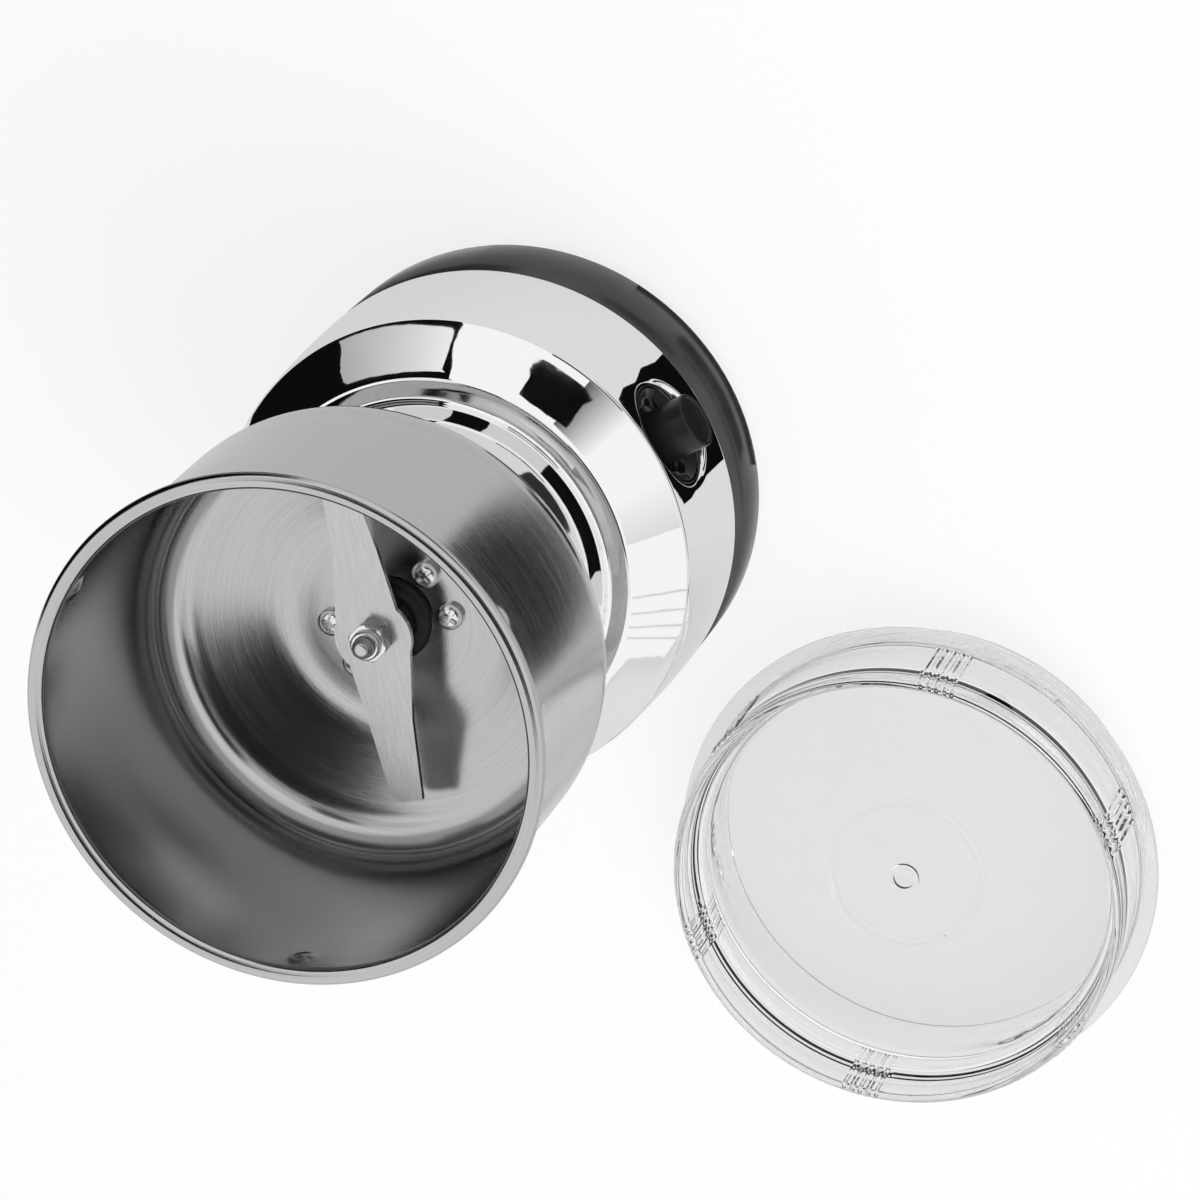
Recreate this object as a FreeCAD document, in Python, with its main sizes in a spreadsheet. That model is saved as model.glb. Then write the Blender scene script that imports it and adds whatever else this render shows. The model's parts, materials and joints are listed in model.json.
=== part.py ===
import FreeCAD, Part
import math
import os
import re

import Sketcher

# Electric spice grinder, millimetres. The floor is z = 0 and the motor's axis is x = y = 0.
# The push button faces -Y, the mains inlet faces +Y, and the lid lies beside the grinder.

V = FreeCAD.Vector
doc = FreeCAD.newDocument("SpiceGrinder")
sheet = doc.addObject("Spreadsheet::Sheet", "Sizes")

sizes = {
    # Chromed housing shell
    "shell_radius": 50.3,
    "shell_barrel_radius": 415,
    "shell_wall": 2.2,
    "shoulder_rise": 13,
    "flare_height": 10.7,
    "ledge_width": 4.4,
    "neck_radius": 35.6,
    "crease_radius": 1.8,
    "deck_thickness": 2.5,
    "deck_bore_radius": 8,
    # Steel cup
    "cup_height": 62.6,
    "rim_bead_radius": 1.65,
    "rim_inset": 0.1,
    "cup_sheet": 0.6,
    "cup_floor_radius": 21.2,
    "cup_corner_radius": 12,
    "cup_floor_slope": 15,
    "cup_seat_gap": 0.1,
    "dimple_drop": 5.5,
    "dimple_depth": 0.6,
    "dimple_ball_radius": 4,
    "gasket_thickness": 1.5,
    "gasket_radius": 19,
    # Screws through the cup floor
    "cup_screw_across": 4.7,
    "cup_screw_up": 11.36,
    "screw_shank_radius": 1.45,
    "screw_pilot_radius": 1.5,
    "screw_hole_radius": 1.75,
    "screw_head_radius": 2.7,
    "screw_head_height": 1.7,
    "screw_head_edge": 0.6,
    "screw_head_crown": 1.05,
    "cup_screw_length": 10,
    "recess_length": 3.3,
    "recess_width": 0.8,
    "recess_depth": 1,
    # Base cover, its screws and its feet
    "foot_height": 2.5,
    "base_height": 20.8,
    "base_inset": 0.05,
    "base_edge_radius": 2.5,
    "base_wall": 2.4,
    "base_floor": 2.2,
    "lip_gap": 0.15,
    "lip_thickness": 1.6,
    "lip_height": 3.5,
    "lip_root": 2,
    "foot_angle": 30,
    "foot_inset": 11.55,
    "foot_radius": 10,
    "foot_count": 4,
    "foot_hollow": 1,
    "foot_ring_inner": 8,
    "foot_ring_width": 1.2,
    "foot_edge": 0.8,
    "foot_barb": 0.7,
    "foot_barb_height": 2.1,
    "foot_stem_radius": 3,
    "foot_stem_gap": 0.05,
    "base_screw_turn": 20,
    "base_screw_count": 4,
    "base_screw_inset": 5.1,
    "base_screw_sink": 5.5,
    "base_screw_length": 30,
    "column_radius": 4.6,
    "column_gap": 0.3,
    "boss_radius": 5.4,
    "boss_length": 13.9,
    "vent_inner_radius": 13,
    "vent_outer_radius": 27,
    "vent_width": 2.6,
    "vent_count": 18,
    # Mains inlet
    "inlet_bore_radius": 3.3,
    "inlet_bush_radius": 4.7,
    "inlet_flange_radius": 6,
    "inlet_flange": 1.2,
    "inlet_gap": 0.1,
    # Push button and switch
    "button_rise": 17.2,
    "button_hole_radius": 11,
    "button_proud": 4.7,
    "button_radius": 5.66,
    "button_rim": 0.5,
    "button_gap": 0.1,
    "button_travel": 3,
    "button_dish": 0.5,
    "button_flange_step": 1.14,
    "button_flange": 1.4,
    "button_stem_radius": 2.2,
    "lip_ring_recess": 2.2,
    "lip_ring_depth": 3.2,
    "lip_ring_wall": 2.2,
    "lip_edge_radius": 1,
    "bezel_recess": 2,
    "bezel_rim": 0.8,
    "bezel_land": 1.6,
    "bezel_lip": 0.9,
    "bezel_gap": 0.15,
    "bezel_flange_step": 2.4,
    "bezel_flange": 1.6,
    "bezel_arm_thickness": 2,
    "switch_clearance": 1.5,
    "switch_depth": 10.5,
    "switch_half_width": 8,
    "switch_half_height": 8.5,
    "switch_back_wall": 3,
    "plunger_radius": 1.5,
    "spring_radius": 3.7,
    "spring_wire_radius": 0.3,
    "spring_pitch": 1.55,
    "tab_width": 4.8,
    "tab_thickness": 0.8,
    "tab_length": 7,
    # Motor
    "shaft_radius": 3,
    "shaft_thread_radius": 2.1,
    "shaft_end": 7.2,
    "bearing_gap": 0.05,
    "bearing_radius": 6.5,
    "bearing_length": 6.5,
    "bearing_cup_wall": 3,
    "bracket_plate": 3,
    "bracket_radius": 21,
    "bracket_arm_place": 18.2,
    "bracket_arm_depth": 4,
    "bracket_arm_width": 10,
    "top_cup_depth": 7.4,
    "motor_clearance": 6.3,
    "bottom_arm_height": 20,
    "stack_height": 24,
    "stack_long": 54,
    "stack_short": 42,
    "stack_corner_radius": 7,
    "stack_bore_radius": 15,
    "air_gap": 0.5,
    "window_inner": 13.5,
    "window_outer": 21.5,
    "window_low": 9.5,
    "window_high": 16,
    "coil_gap": 0.4,
    "coil_overhang": 5.2,
    "coil_corner_radius": 3,
    "slot_count": 12,
    "slot_width": 2.2,
    "slot_depth": 6,
    "winding_radius": 12.5,
    "winding_height": 6,
    "commutator_radius": 9,
    "commutator_gap": 0.35,
    "commutator_length": 8,
    "segment_gap": 0.5,
    "segment_cut": 1,
    "fan_clearance": 2.2,
    "fan_gap": 1.15,
    "fan_radius": 15,
    "fan_height": 5.4,
    "fan_disc": 1.2,
    "fan_blade": 1.1,
    "fan_blade_count": 9,
    "washer_radius": 5.5,
    "washer_thickness": 1,
    "washer_gap": 0.15,
    "motor_screw_thread": 10,
    # Brushes
    "brush_half": 2.5,
    "brush_gap": 0.06,
    "brush_length": 9,
    "holder_wall": 1.2,
    "holder_inner": 10.6,
    "holder_outer": 26,
    "holder_cap": 1.6,
    # Seal, spacer, blade and nut
    "seal_gap": 0.1,
    "seal_radius": 6,
    "seal_flange_radius": 8.5,
    "seal_flange": 1.6,
    "seal_rise": 5,
    "spacer_gap": 0.5,
    "spacer_radius": 5.5,
    "spacer_height": 4.3,
    "blade_thickness": 1.2,
    "blade_boss_radius": 7.8,
    "blade_tip_radius": 33.5,
    "blade_bend_place": 17.5,
    "blade_bend_angle": 4,
    "blade_root_lead": 7.6,
    "blade_root_trail": 6.4,
    "blade_bend_lead": 4.05,
    "blade_bend_trail": 4.94,
    "blade_tip_lead": 2.75,
    "blade_tip_trail": 3.6,
    "blade_tip_rounding": 2.4,
    "blade_turn": -19,
    "nut_across_flats": 7,
    "nut_hex_height": 3.3,
    "nut_height": 5,
    "nut_collar_radius": 2.95,
    "nut_chamfer": 0.35,
    # Inlet side electrics on the base floor
    "block_across": 8,
    "block_setback": 14.85,
    "block_long": 20,
    "block_deep": 9,
    "block_high": 9,
    "block_holes": 3,
    "capacitor_across": -18,
    "capacitor_back": 18.5,
    "capacitor_long": 18,
    "capacitor_deep": 8,
    "capacitor_high": 12,
    "capacitor_corner": 1,
    "fuse_radius": 1.7,
    "fuse_length": 12,
    # Clear lid, lying on the floor
    "lid_across": -106.8,
    "lid_along": -36.8,
    "lid_turn": 20,
    "lid_wall": 1.9,
    "lid_skirt_height": 12,
    "lid_skirt_gap": 0.65,
    "lid_skirt_taper": 0.5,
    "lid_flange_overhang": 0.3,
    "lid_flange": 1.6,
    "lid_flange_edge": 0.6,
    "lid_upper_step": 0.65,
    "lid_upper_height": 20,
    "lid_recess_depth": 8.1,
    "lid_recess_fillet": 3,
    "lid_under_fillet": 1.5,
    "lid_dish": 1,
    "lid_disc_radius": 15.5,
    "lid_step": 0.6,
    "lid_ring_radius": 3.1,
    "lid_ring_wall": 0.9,
    "grip_radius": 0.45,
    "grip_pitch": 1.75,
    "grip_ribs": 5,
    "grip_groups": 6,
    "lock_rib_depth": 0.5,
    "lock_rib_height": 1.4,
    "lock_rib_top": 8.8,
    "lock_rib_drop": 5,
    "lock_rib_span": 30,
    "lock_ribs": 3,
}

# Places and radii that follow from the sizes; each is a word that later formulas may use
derived = {
    "shell_bottom": "foot_height + base_height",
    "button_height": "shell_bottom + button_rise",
    "shoulder_height": "button_height + shoulder_rise",
    "ledge_height": "shoulder_height + flare_height",
    "ledge_radius": "neck_radius + ledge_width",
    "base_radius": "shell_radius - base_inset",
    "lip_step": "shell_wall + lip_gap + lip_thickness - base_inset - base_wall",
    "foot_circle_radius": "base_radius - foot_inset",
    "base_screw_circle_radius": "shell_radius - shell_wall - base_screw_inset",
    "base_screw_seat": "foot_height + base_screw_sink",
    "block_back": "base_radius - base_wall - block_setback",
    "inlet_height": "(foot_height + base_floor + shell_bottom - lip_root - lip_step) / 2",
    "button_face": "shell_radius + button_proud",
    "lip_ring_front": "shell_radius - lip_ring_recess",
    "lip_ring_back": "lip_ring_front - lip_ring_depth",
    "bezel_front": "shell_radius - bezel_recess",
    "bezel_flange_radius": "button_hole_radius + bezel_flange_step",
    "button_flange_radius": "button_radius + button_flange_step",
    "switch_front": "stack_short / 2 + switch_clearance + switch_depth",
    "switch_low": "button_height - switch_half_height",
    "switch_high": "button_height + switch_half_height",
    "bottom_cup_bottom": "foot_height + base_floor + motor_clearance",
    "bottom_plate_height": "bottom_cup_bottom + bearing_length - bracket_plate / 2",
    "stack_bottom": "bottom_plate_height + bottom_arm_height",
    "fan_bottom": "stack_bottom + stack_height + coil_gap + coil_overhang + fan_clearance",
    "top_cup_bottom": "fan_bottom + fan_height + fan_gap + washer_thickness + washer_gap",
    "bracket_bottom": "top_cup_bottom + top_cup_depth",
    "deck_bottom": "bracket_bottom + bracket_plate",
    "deck_top": "deck_bottom + deck_thickness",
    "cup_floor_height": "deck_top + gasket_thickness",
    "rim_height": "cup_floor_height + cup_height",
    "cup_radius": "shell_radius - rim_inset - rim_bead_radius * 2 + cup_sheet",
    "dimple_height": "rim_height - dimple_drop",
    "cup_hole_radius": "seal_radius + seal_gap",
    "seal_top": "cup_floor_height + cup_sheet + seal_rise",
    "blade_bottom": "seal_top + spacer_gap + spacer_height",
    "blade_top": "blade_bottom + blade_thickness",
    "shaft_top": "blade_top + shaft_end",
    "bottom_plate_top": "bottom_plate_height + bracket_plate",
    "commutator_bottom": "bottom_plate_top + washer_gap + washer_thickness + commutator_gap",
    "brush_height": "commutator_bottom + commutator_length / 2",
    "lid_skirt_radius": "cup_radius - cup_sheet - lid_skirt_gap",
    "lid_upper_radius": "lid_skirt_radius + lid_upper_step",
    "lid_flange_radius": "cup_radius - cup_sheet + rim_bead_radius * 2 + lid_flange_overhang",
    "lock_rib_reach": "lid_skirt_radius + lock_rib_depth",
}
for row, (alias, amount) in enumerate(sizes.items(), start=1):
    sheet.set(f"A{row}", alias)
    sheet.set(f"B{row}", str(amount))
    sheet.setAlias(f"B{row}", alias)
doc.recompute()

finished = []
same_place = 0.02


def linked(formula):
    """Writes a formula as an expression of the sheet's cells; a derived word stands for its formula."""

    def cell(word):
        if word[0] in derived:
            return f"({linked(derived[word[0]])})"
        return f"Sizes.{word[0]}" if word[0] in sizes else word[0]

    return re.sub(r"[a-z_]+", cell, formula)


def bind(thing, prop, formula):
    thing.setExpression(prop, linked(formula))


def number(thing, formula):
    """The present value of a formula of sizes."""
    return float(thing.evalExpression(linked(formula)))


def finish(thing, name):
    """Names a finished piece, which also names its file."""
    thing.Label = name
    finished.append(thing)
    return thing


def new_body(name):
    return doc.addObject("PartDesign::Body", name)


def new_sketch(body, plane="XY_Plane", lift="0"):
    """A sketch on one of the body's own origin planes, lifted along the plane's normal."""
    sketch = body.newObject("Sketcher::SketchObject", f"{body.Name}_sketch")
    face = next(feature for feature in body.Origin.OriginFeatures if feature.Role == plane)
    sketch.AttachmentSupport = [(face, "")]
    sketch.MapMode = "FlatFace"
    bind(sketch, "AttachmentOffset.Base.z", lift)
    return sketch


def fix_point(rules, formulas, segment, spot, across, up):
    """Holds one point of a sketch at two formulas, either of which may be left to the shape."""
    for kind, formula in (("DistanceX", across), ("DistanceY", up)):
        if formula is not None:
            rules.append((kind, -1, 1, segment, spot))
            formulas.append(formula)


def hold(sketch, rules, formulas, joins=()):
    """Adds the joins, then the measured rules, and binds each measured rule to its formula."""
    sketch.addConstraint([Sketcher.Constraint("Coincident", *join) for join in joins])
    values = [number(sketch, formula) for formula in formulas]
    places = sketch.addConstraint([Sketcher.Constraint(*rule, value) for rule, value in zip(rules, values)])
    for place, formula in zip(places, formulas):
        if formula != "0":
            bind(sketch, f"Constraints[{place}]", formula)


def draw(sketch, outline):
    """Draws a closed outline of (across, up) points. A point with two more formulas is reached on
    an arc about the centre that they give. The first point is reached on a straight line."""
    first = sketch.GeometryCount
    count = len(outline)
    places = [[number(sketch, formula) for formula in point] for point in outline]
    ends = []
    for index in range(count):
        start = V(*places[index][:2], 0)
        target = places[(index + 1) % count]
        stop = V(*target[:2], 0)
        if len(target) == 2:
            sketch.addGeometry(Part.LineSegment(start, stop))
            ends.append((1, 2))
            continue
        centre = V(*target[2:], 0)
        angles = [math.atan2(point.y - centre.y, point.x - centre.x) for point in (start, stop)]
        forward = (start - centre).cross(stop - centre).z > 0
        circle = Part.Circle(centre, V(0, 0, 1), (start - centre).Length)
        sketch.addGeometry(Part.ArcOfCircle(circle, *(angles if forward else angles[::-1])))
        ends.append((1, 2) if forward else (2, 1))
    joins = [
        (first + index, ends[index][1], first + (index + 1) % count, ends[(index + 1) % count][0])
        for index in range(count)
    ]
    rules = []
    formulas = []
    for index, (point, place) in enumerate(zip(outline, places)):
        across, up = point[:2]
        if len(point) == 4:
            fix_point(rules, formulas, first + index - 1, 3, *point[2:])
            steep = abs(place[0] - place[2]) > abs(place[1] - place[3])
            across, up = (None, up) if steep else (across, None)
        fix_point(rules, formulas, first + index, ends[index][0], across, up)
    hold(sketch, rules, formulas, joins)


def draw_circle(sketch, across, up, radius):
    centre = V(number(sketch, across), number(sketch, up), 0)
    circle = sketch.addGeometry(Part.Circle(centre, V(0, 0, 1), number(sketch, radius)))
    rules = []
    formulas = []
    fix_point(rules, formulas, circle, 3, across, up)
    rules.append(("Radius", circle))
    formulas.append(radius)
    hold(sketch, rules, formulas)


def box_outline(left, right, low, high):
    return [(left, low), (right, low), (right, high), (left, high)]


def round_box_outline(half_across, low, high, radius):
    """A rectangle with rounded corners, symmetric about the up axis."""
    left, right = f"-({half_across})", f"({half_across})"
    return [
        (left, f"{low} + {radius}"),
        (f"{left} + {radius}", low, f"{left} + {radius}", f"{low} + {radius}"),
        (f"{right} - {radius}", low),
        (right, f"{low} + {radius}", f"{right} - {radius}", f"{low} + {radius}"),
        (right, f"{high} - {radius}"),
        (f"{right} - {radius}", high, f"{right} - {radius}", f"{high} - {radius}"),
        (f"{left} + {radius}", high),
        (left, f"{high} - {radius}", f"{left} + {radius}", f"{high} - {radius}"),
    ]


def volume(body):
    return 0 if body.Shape.isNull() else body.Shape.Volume


def shape_up(body, kind, sketch, **settings):
    """Adds a PartDesign feature, and makes sure that it adds or cuts material as its kind says."""
    before = volume(body)
    feature = body.newObject(f"PartDesign::{kind}", f"{body.Name}_{kind.lower()}")
    feature.Profile = sketch
    for prop, value in settings.items():
        if isinstance(value, str):
            bind(feature, prop, value)
        else:
            setattr(feature, prop, value)
    doc.recompute()
    change = volume(body) - before
    if change * (-1 if kind in ("Pocket", "Groove") else 1) <= 0:
        raise ValueError(f"{feature.Name} changes nothing")
    return feature


def pad(body, sketch, length, **settings):
    return shape_up(body, "Pad", sketch, Length=length, **settings)


def pocket(body, sketch, length, **settings):
    return shape_up(body, "Pocket", sketch, Length=length, **settings)


def turn(body, outline, plane="XZ_Plane", kind="Revolution"):
    """Turns an outline of (radius, height) points about the sketch's vertical axis."""
    sketch = new_sketch(body, plane)
    draw(sketch, outline)
    return shape_up(body, kind, sketch, ReferenceAxis=(sketch, ["V_Axis"]), Angle=360.0)


def repeat(body, features, count):
    """Repeats features evenly about the body's own Z axis."""
    pattern = body.newObject("PartDesign::PolarPattern", f"{body.Name}_pattern")
    axis = next(feature for feature in body.Origin.OriginFeatures if feature.Role == "Z_Axis")
    pattern.Originals = features
    pattern.Axis = (axis, [""])
    pattern.Angle = 360
    bind(pattern, "Occurrences", count)
    body.Tip = pattern
    doc.recompute()
    return pattern


def round_edges(body, radius, wanted):
    """Rounds the edges of a body whose middle point a test picks."""
    chosen = []
    for index, edge in enumerate(body.Shape.Edges, start=1):
        middle = edge.valueAt((edge.FirstParameter + edge.LastParameter) / 2)
        if wanted(edge, middle):
            chosen.append(f"Edge{index}")
    base_feature = body.Tip
    before = volume(body)
    fillet = body.newObject("PartDesign::Fillet", f"{body.Name}_fillet")
    fillet.Base = (base_feature, chosen)
    bind(fillet, "Radius", radius)
    doc.recompute()
    if not chosen or not fillet.isValid() or volume(body) == before:
        raise ValueError(f"{fillet.Name} rounds nothing")
    return fillet


def circle_at(body, radius, height):
    """A test for the whole circular edge at a radius and a height."""
    wanted_radius, wanted_height = number(body, radius), number(body, height)
    return lambda edge, middle: (
        abs(math.hypot(middle.x, middle.y) - wanted_radius) < same_place
        and abs(middle.z - wanted_height) < same_place
    )


def place(thing, across="0", along="0", up="0"):
    bind(thing, "Placement.Base.x", across)
    bind(thing, "Placement.Base.y", along)
    bind(thing, "Placement.Base.z", up)
    return thing


def box(name, across, along, up):
    """A block between three pairs of (low, high) places."""
    block = doc.addObject("Part::Box", name)
    for prop, axis, (low, high) in zip(("Length", "Width", "Height"), "xyz", (across, along, up)):
        bind(block, prop, f"({high}) - ({low})")
        bind(block, f"Placement.Base.{axis}", low)
    return block


def rod(name, radius, bottom, height, across="0", along="0"):
    """An upright cylinder."""
    cylinder = doc.addObject("Part::Cylinder", name)
    bind(cylinder, "Radius", radius)
    bind(cylinder, "Height", height)
    return place(cylinder, across, along, bottom)


def ball(name, radius, across, along, up):
    sphere = doc.addObject("Part::Sphere", name)
    bind(sphere, "Radius", radius)
    return place(sphere, across, along, up)


def fuse(name, pieces):
    joined = doc.addObject("Part::MultiFuse", name)
    joined.Shapes = pieces
    return joined


def cut(name, base, tool):
    remainder = doc.addObject("Part::Cut", name)
    remainder.Base = base
    remainder.Tool = tool
    return remainder


def common(name, base, tool):
    shared = doc.addObject("Part::Common", name)
    shared.Base = base
    shared.Tool = tool
    return shared


def group(name, members):
    """One node of several like solids that do not touch."""
    bundle = doc.addObject("Part::Compound", name)
    bundle.Links = members
    return finish(bundle, name)


def round_the_axis(radius, angle):
    """The across and along formulas of a place at a radius and an angle."""
    return f"({radius}) * cos({angle})", f"({radius}) * sin({angle})"


# Heights that several pieces share
base_floor_top = "(foot_height + base_floor)"
cup_floor_top = "(cup_floor_height + cup_sheet)"
stack_top = "(stack_bottom + stack_height)"
lip_outer = "(shell_radius - shell_wall - lip_gap)"
lip_top = "(shell_bottom + lip_height)"
boss_bottom = f"({lip_top} + column_gap)"

cup_screw_places = [
    (f"{side} * cup_screw_across", f"{end} * cup_screw_up") for side in (-1, 1) for end in (-1, 1)
]

# The cup's underside: a flat, a cone that rises outwards, and a corner arc up to the wall
cone_end_radius = "(cup_radius - cup_corner_radius + cup_corner_radius * sin(cup_floor_slope))"
cone_end_height = f"(cup_floor_height + ({cone_end_radius} - cup_floor_radius) * tan(cup_floor_slope))"
corner_radius_place = "(cup_radius - cup_corner_radius)"
corner_height = f"({cone_end_height} + cup_corner_radius * cos(cup_floor_slope))"


def underside(radius):
    """Height of the cup's cone at a radius."""
    return f"(cup_floor_height + ({radius} - cup_floor_radius) * tan(cup_floor_slope))"


def screw(name, head_radius, head_height, seat, tip, across="0", along="0", turned="0"):
    """A pan head screw along Z with a cross recess; the head lies on the side away from the tip."""
    body = new_body(name)
    up = number(body, seat) > number(body, tip)
    top = f"({seat} + {head_height})" if up else f"({seat} - {head_height})"
    edge = f"({seat} + screw_head_edge)" if up else f"({seat} - screw_head_edge)"
    outline = [
        ("0", tip),
        ("screw_shank_radius / 2", tip),
        ("screw_shank_radius", f"{tip} + screw_shank_radius" if up else f"{tip} - screw_shank_radius"),
        ("screw_shank_radius", seat),
        (head_radius, seat),
        (head_radius, edge),
        (f"{head_radius} - screw_head_crown", top),
        ("0", top),
    ]
    turn(body, outline)
    plus = new_sketch(body, lift=top)
    long, thin = "(recess_length / 2)", "(recess_width / 2)"
    corners = [(long, thin), (thin, thin), (thin, long)]
    ring = list(corners)
    ring += [(f"-{across_}", up_) for across_, up_ in corners[::-1]]
    ring += [(f"-{across_}", f"-{up_}") for across_, up_ in corners]
    ring += [(across_, f"-{up_}") for across_, up_ in corners[::-1]]
    draw(plus, ring)
    pocket(body, plus, "recess_depth", Reversed=not up)
    place(body, across, along)
    bind(body, "Placement.Rotation.Angle", turned)
    return body


# Housing shell: one moulding with a barrel-shaped skirt, a flared shoulder, a ledge, a neck and a deck
shell = new_body("housing_shell")
inner_neck = "(neck_radius - shell_wall)"
inner_ledge = "(ledge_radius - shell_wall)"
shoulder_fall = "sqrt(shell_barrel_radius ^ 2 - (shoulder_height - shell_bottom) ^ 2)"
barrel_centre = "(shell_radius - shell_barrel_radius)"
turn(
    shell,
    [
        ("shell_radius - shell_wall", "shell_bottom"),
        ("shell_radius", "shell_bottom"),
        (f"{barrel_centre} + {shoulder_fall}", "shoulder_height", barrel_centre, "shell_bottom"),
        ("ledge_radius", "ledge_height"),
        ("neck_radius", "ledge_height"),
        ("neck_radius", underside("neck_radius") + " - cup_seat_gap"),
        (inner_neck, underside(inner_neck) + " - cup_seat_gap"),
        (inner_neck, "deck_top"),
        ("deck_bore_radius", "deck_top"),
        ("deck_bore_radius", "deck_bottom"),
        (inner_neck, "deck_bottom"),
        (inner_neck, "ledge_height - shell_wall"),
        (inner_ledge, "ledge_height - shell_wall"),
        (f"{barrel_centre} + {shoulder_fall} - shell_wall", "shoulder_height - shell_wall / 2"),
    ],
)
for crease_radius_place, crease_height in (
    (f"{barrel_centre} + {shoulder_fall}", "shoulder_height"),
    ("ledge_radius", "ledge_height"),
    ("neck_radius", "ledge_height"),
):
    round_edges(shell, "crease_radius", circle_at(shell, crease_radius_place, crease_height))

lip_ring = new_sketch(shell, "XZ_Plane", "lip_ring_back")
draw_circle(lip_ring, "0", "button_height", "button_hole_radius + lip_ring_wall")
pad(shell, lip_ring, "lip_ring_front - lip_ring_back")
hole = new_sketch(shell, "XZ_Plane", "button_face")
draw_circle(hole, "0", "button_height", "button_hole_radius")
pocket(shell, hole, "button_face - lip_ring_back + shell_wall")

screw_angle = "(foot_angle + base_screw_turn)"
boss = new_sketch(shell, "XY_Plane", boss_bottom)
draw_circle(boss, *round_the_axis("base_screw_circle_radius", screw_angle), "boss_radius")
boss_pad = pad(shell, boss, "boss_length")
repeat(shell, [boss_pad], "base_screw_count")
pilot = new_sketch(shell, "XY_Plane", "base_screw_seat")
draw_circle(pilot, *round_the_axis("base_screw_circle_radius", screw_angle), "screw_pilot_radius")
pilot_pocket = pocket(shell, pilot, "base_screw_length + screw_shank_radius", Reversed=True)
repeat(shell, [pilot_pocket], "base_screw_count")
deck_holes = new_sketch(shell, "XY_Plane", "deck_top")
for across, along in cup_screw_places:
    draw_circle(deck_holes, across, along, "screw_hole_radius")
pocket(shell, deck_holes, "deck_thickness")
hole_radius, button_up = number(shell, "button_hole_radius"), number(shell, "button_height")
round_edges(
    shell,
    "lip_edge_radius",
    lambda edge, middle: middle.y < -number(shell, "lip_ring_front")
    and abs(math.hypot(middle.x, middle.z - button_up) - hole_radius) < same_place,
)
finish(shell, "housing_shell")

# Steel cup: a drawn shell with a rolled rim, a dished floor and three dimples that lock the lid
bead_centre = "(cup_radius - cup_sheet + rim_bead_radius)"
bead_height = "(rim_height - rim_bead_radius)"
cup_turned = new_body("cup_turned")
turn(
    cup_turned,
    [
        ("cup_hole_radius", cup_floor_top),
        ("cup_hole_radius", "cup_floor_height"),
        ("cup_floor_radius", "cup_floor_height"),
        (cone_end_radius, cone_end_height),
        ("cup_radius", corner_height, corner_radius_place, corner_height),
        ("cup_radius", f"{bead_height} - rim_bead_radius"),
        (bead_centre, f"{bead_height} - rim_bead_radius"),
        (f"{bead_centre} + rim_bead_radius", bead_height, bead_centre, bead_height),
        (bead_centre, "rim_height", bead_centre, bead_height),
        ("cup_radius - cup_sheet", bead_height, bead_centre, bead_height),
        ("cup_radius - cup_sheet", corner_height),
        (
            f"{cone_end_radius} - cup_sheet * sin(cup_floor_slope)",
            f"{cone_end_height} + cup_sheet * cos(cup_floor_slope)",
            corner_radius_place,
            corner_height,
        ),
        ("cup_floor_radius - cup_sheet * tan(cup_floor_slope / 2)", cup_floor_top),
    ],
)
cup_holes = new_sketch(cup_turned, "XY_Plane", cup_floor_top)
for across, along in cup_screw_places:
    draw_circle(cup_holes, across, along, "screw_hole_radius")
pocket(cup_turned, cup_holes, "cup_sheet * 2")
dents = []
bumps = []
for index in range(sizes["lock_ribs"]):
    place_angle = f"(360 / lock_ribs * {index} - 90)"
    ball_place = round_the_axis("cup_radius - cup_sheet - dimple_depth + dimple_ball_radius", place_angle)
    dent = ball(f"dent_{index}", "dimple_ball_radius - cup_sheet", *ball_place, "dimple_height")
    dents.append(dent)
    bumps.append(ball(f"bump_{index}", "dimple_ball_radius", *ball_place, "dimple_height"))
dent_group = fuse("dents", dents)
dimple_shells = cut("dimple_shells", fuse("bumps", bumps), dent_group)
dimple_bottom = "dimple_height - dimple_ball_radius"
dimple_limit = rod("dimple_limit", "cup_radius - cup_sheet / 4", dimple_bottom, "dimple_ball_radius * 2")
dimples = common("dimples", dimple_shells, dimple_limit)
cup = fuse("cup_whole", [cut("cup_dented", cup_turned, dent_group), dimples])
finish(cup, "cup")

# Gasket between the cup floor and the deck
gasket = new_body("cup_gasket")
turn(gasket, box_outline("cup_hole_radius", "gasket_radius", "deck_top", "cup_floor_height"))
gasket_holes = new_sketch(gasket, "XY_Plane", "cup_floor_height")
for across, along in cup_screw_places:
    draw_circle(gasket_holes, across, along, "screw_hole_radius")
pocket(gasket, gasket_holes, "gasket_thickness * 2")
finish(gasket, "cup_gasket")

# Four screws clamp the cup, the gasket and the deck to the motor's top bracket
group(
    "cup_screws",
    [
        screw(
            f"cup_screw_{index}",
            "screw_head_radius",
            "screw_head_height",
            cup_floor_top,
            f"({cup_floor_top} - cup_screw_length)",
            across,
            along,
            f"{25 + 17 * index}",
        )
        for index, (across, along) in enumerate(cup_screw_places)
    ],
)

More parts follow.
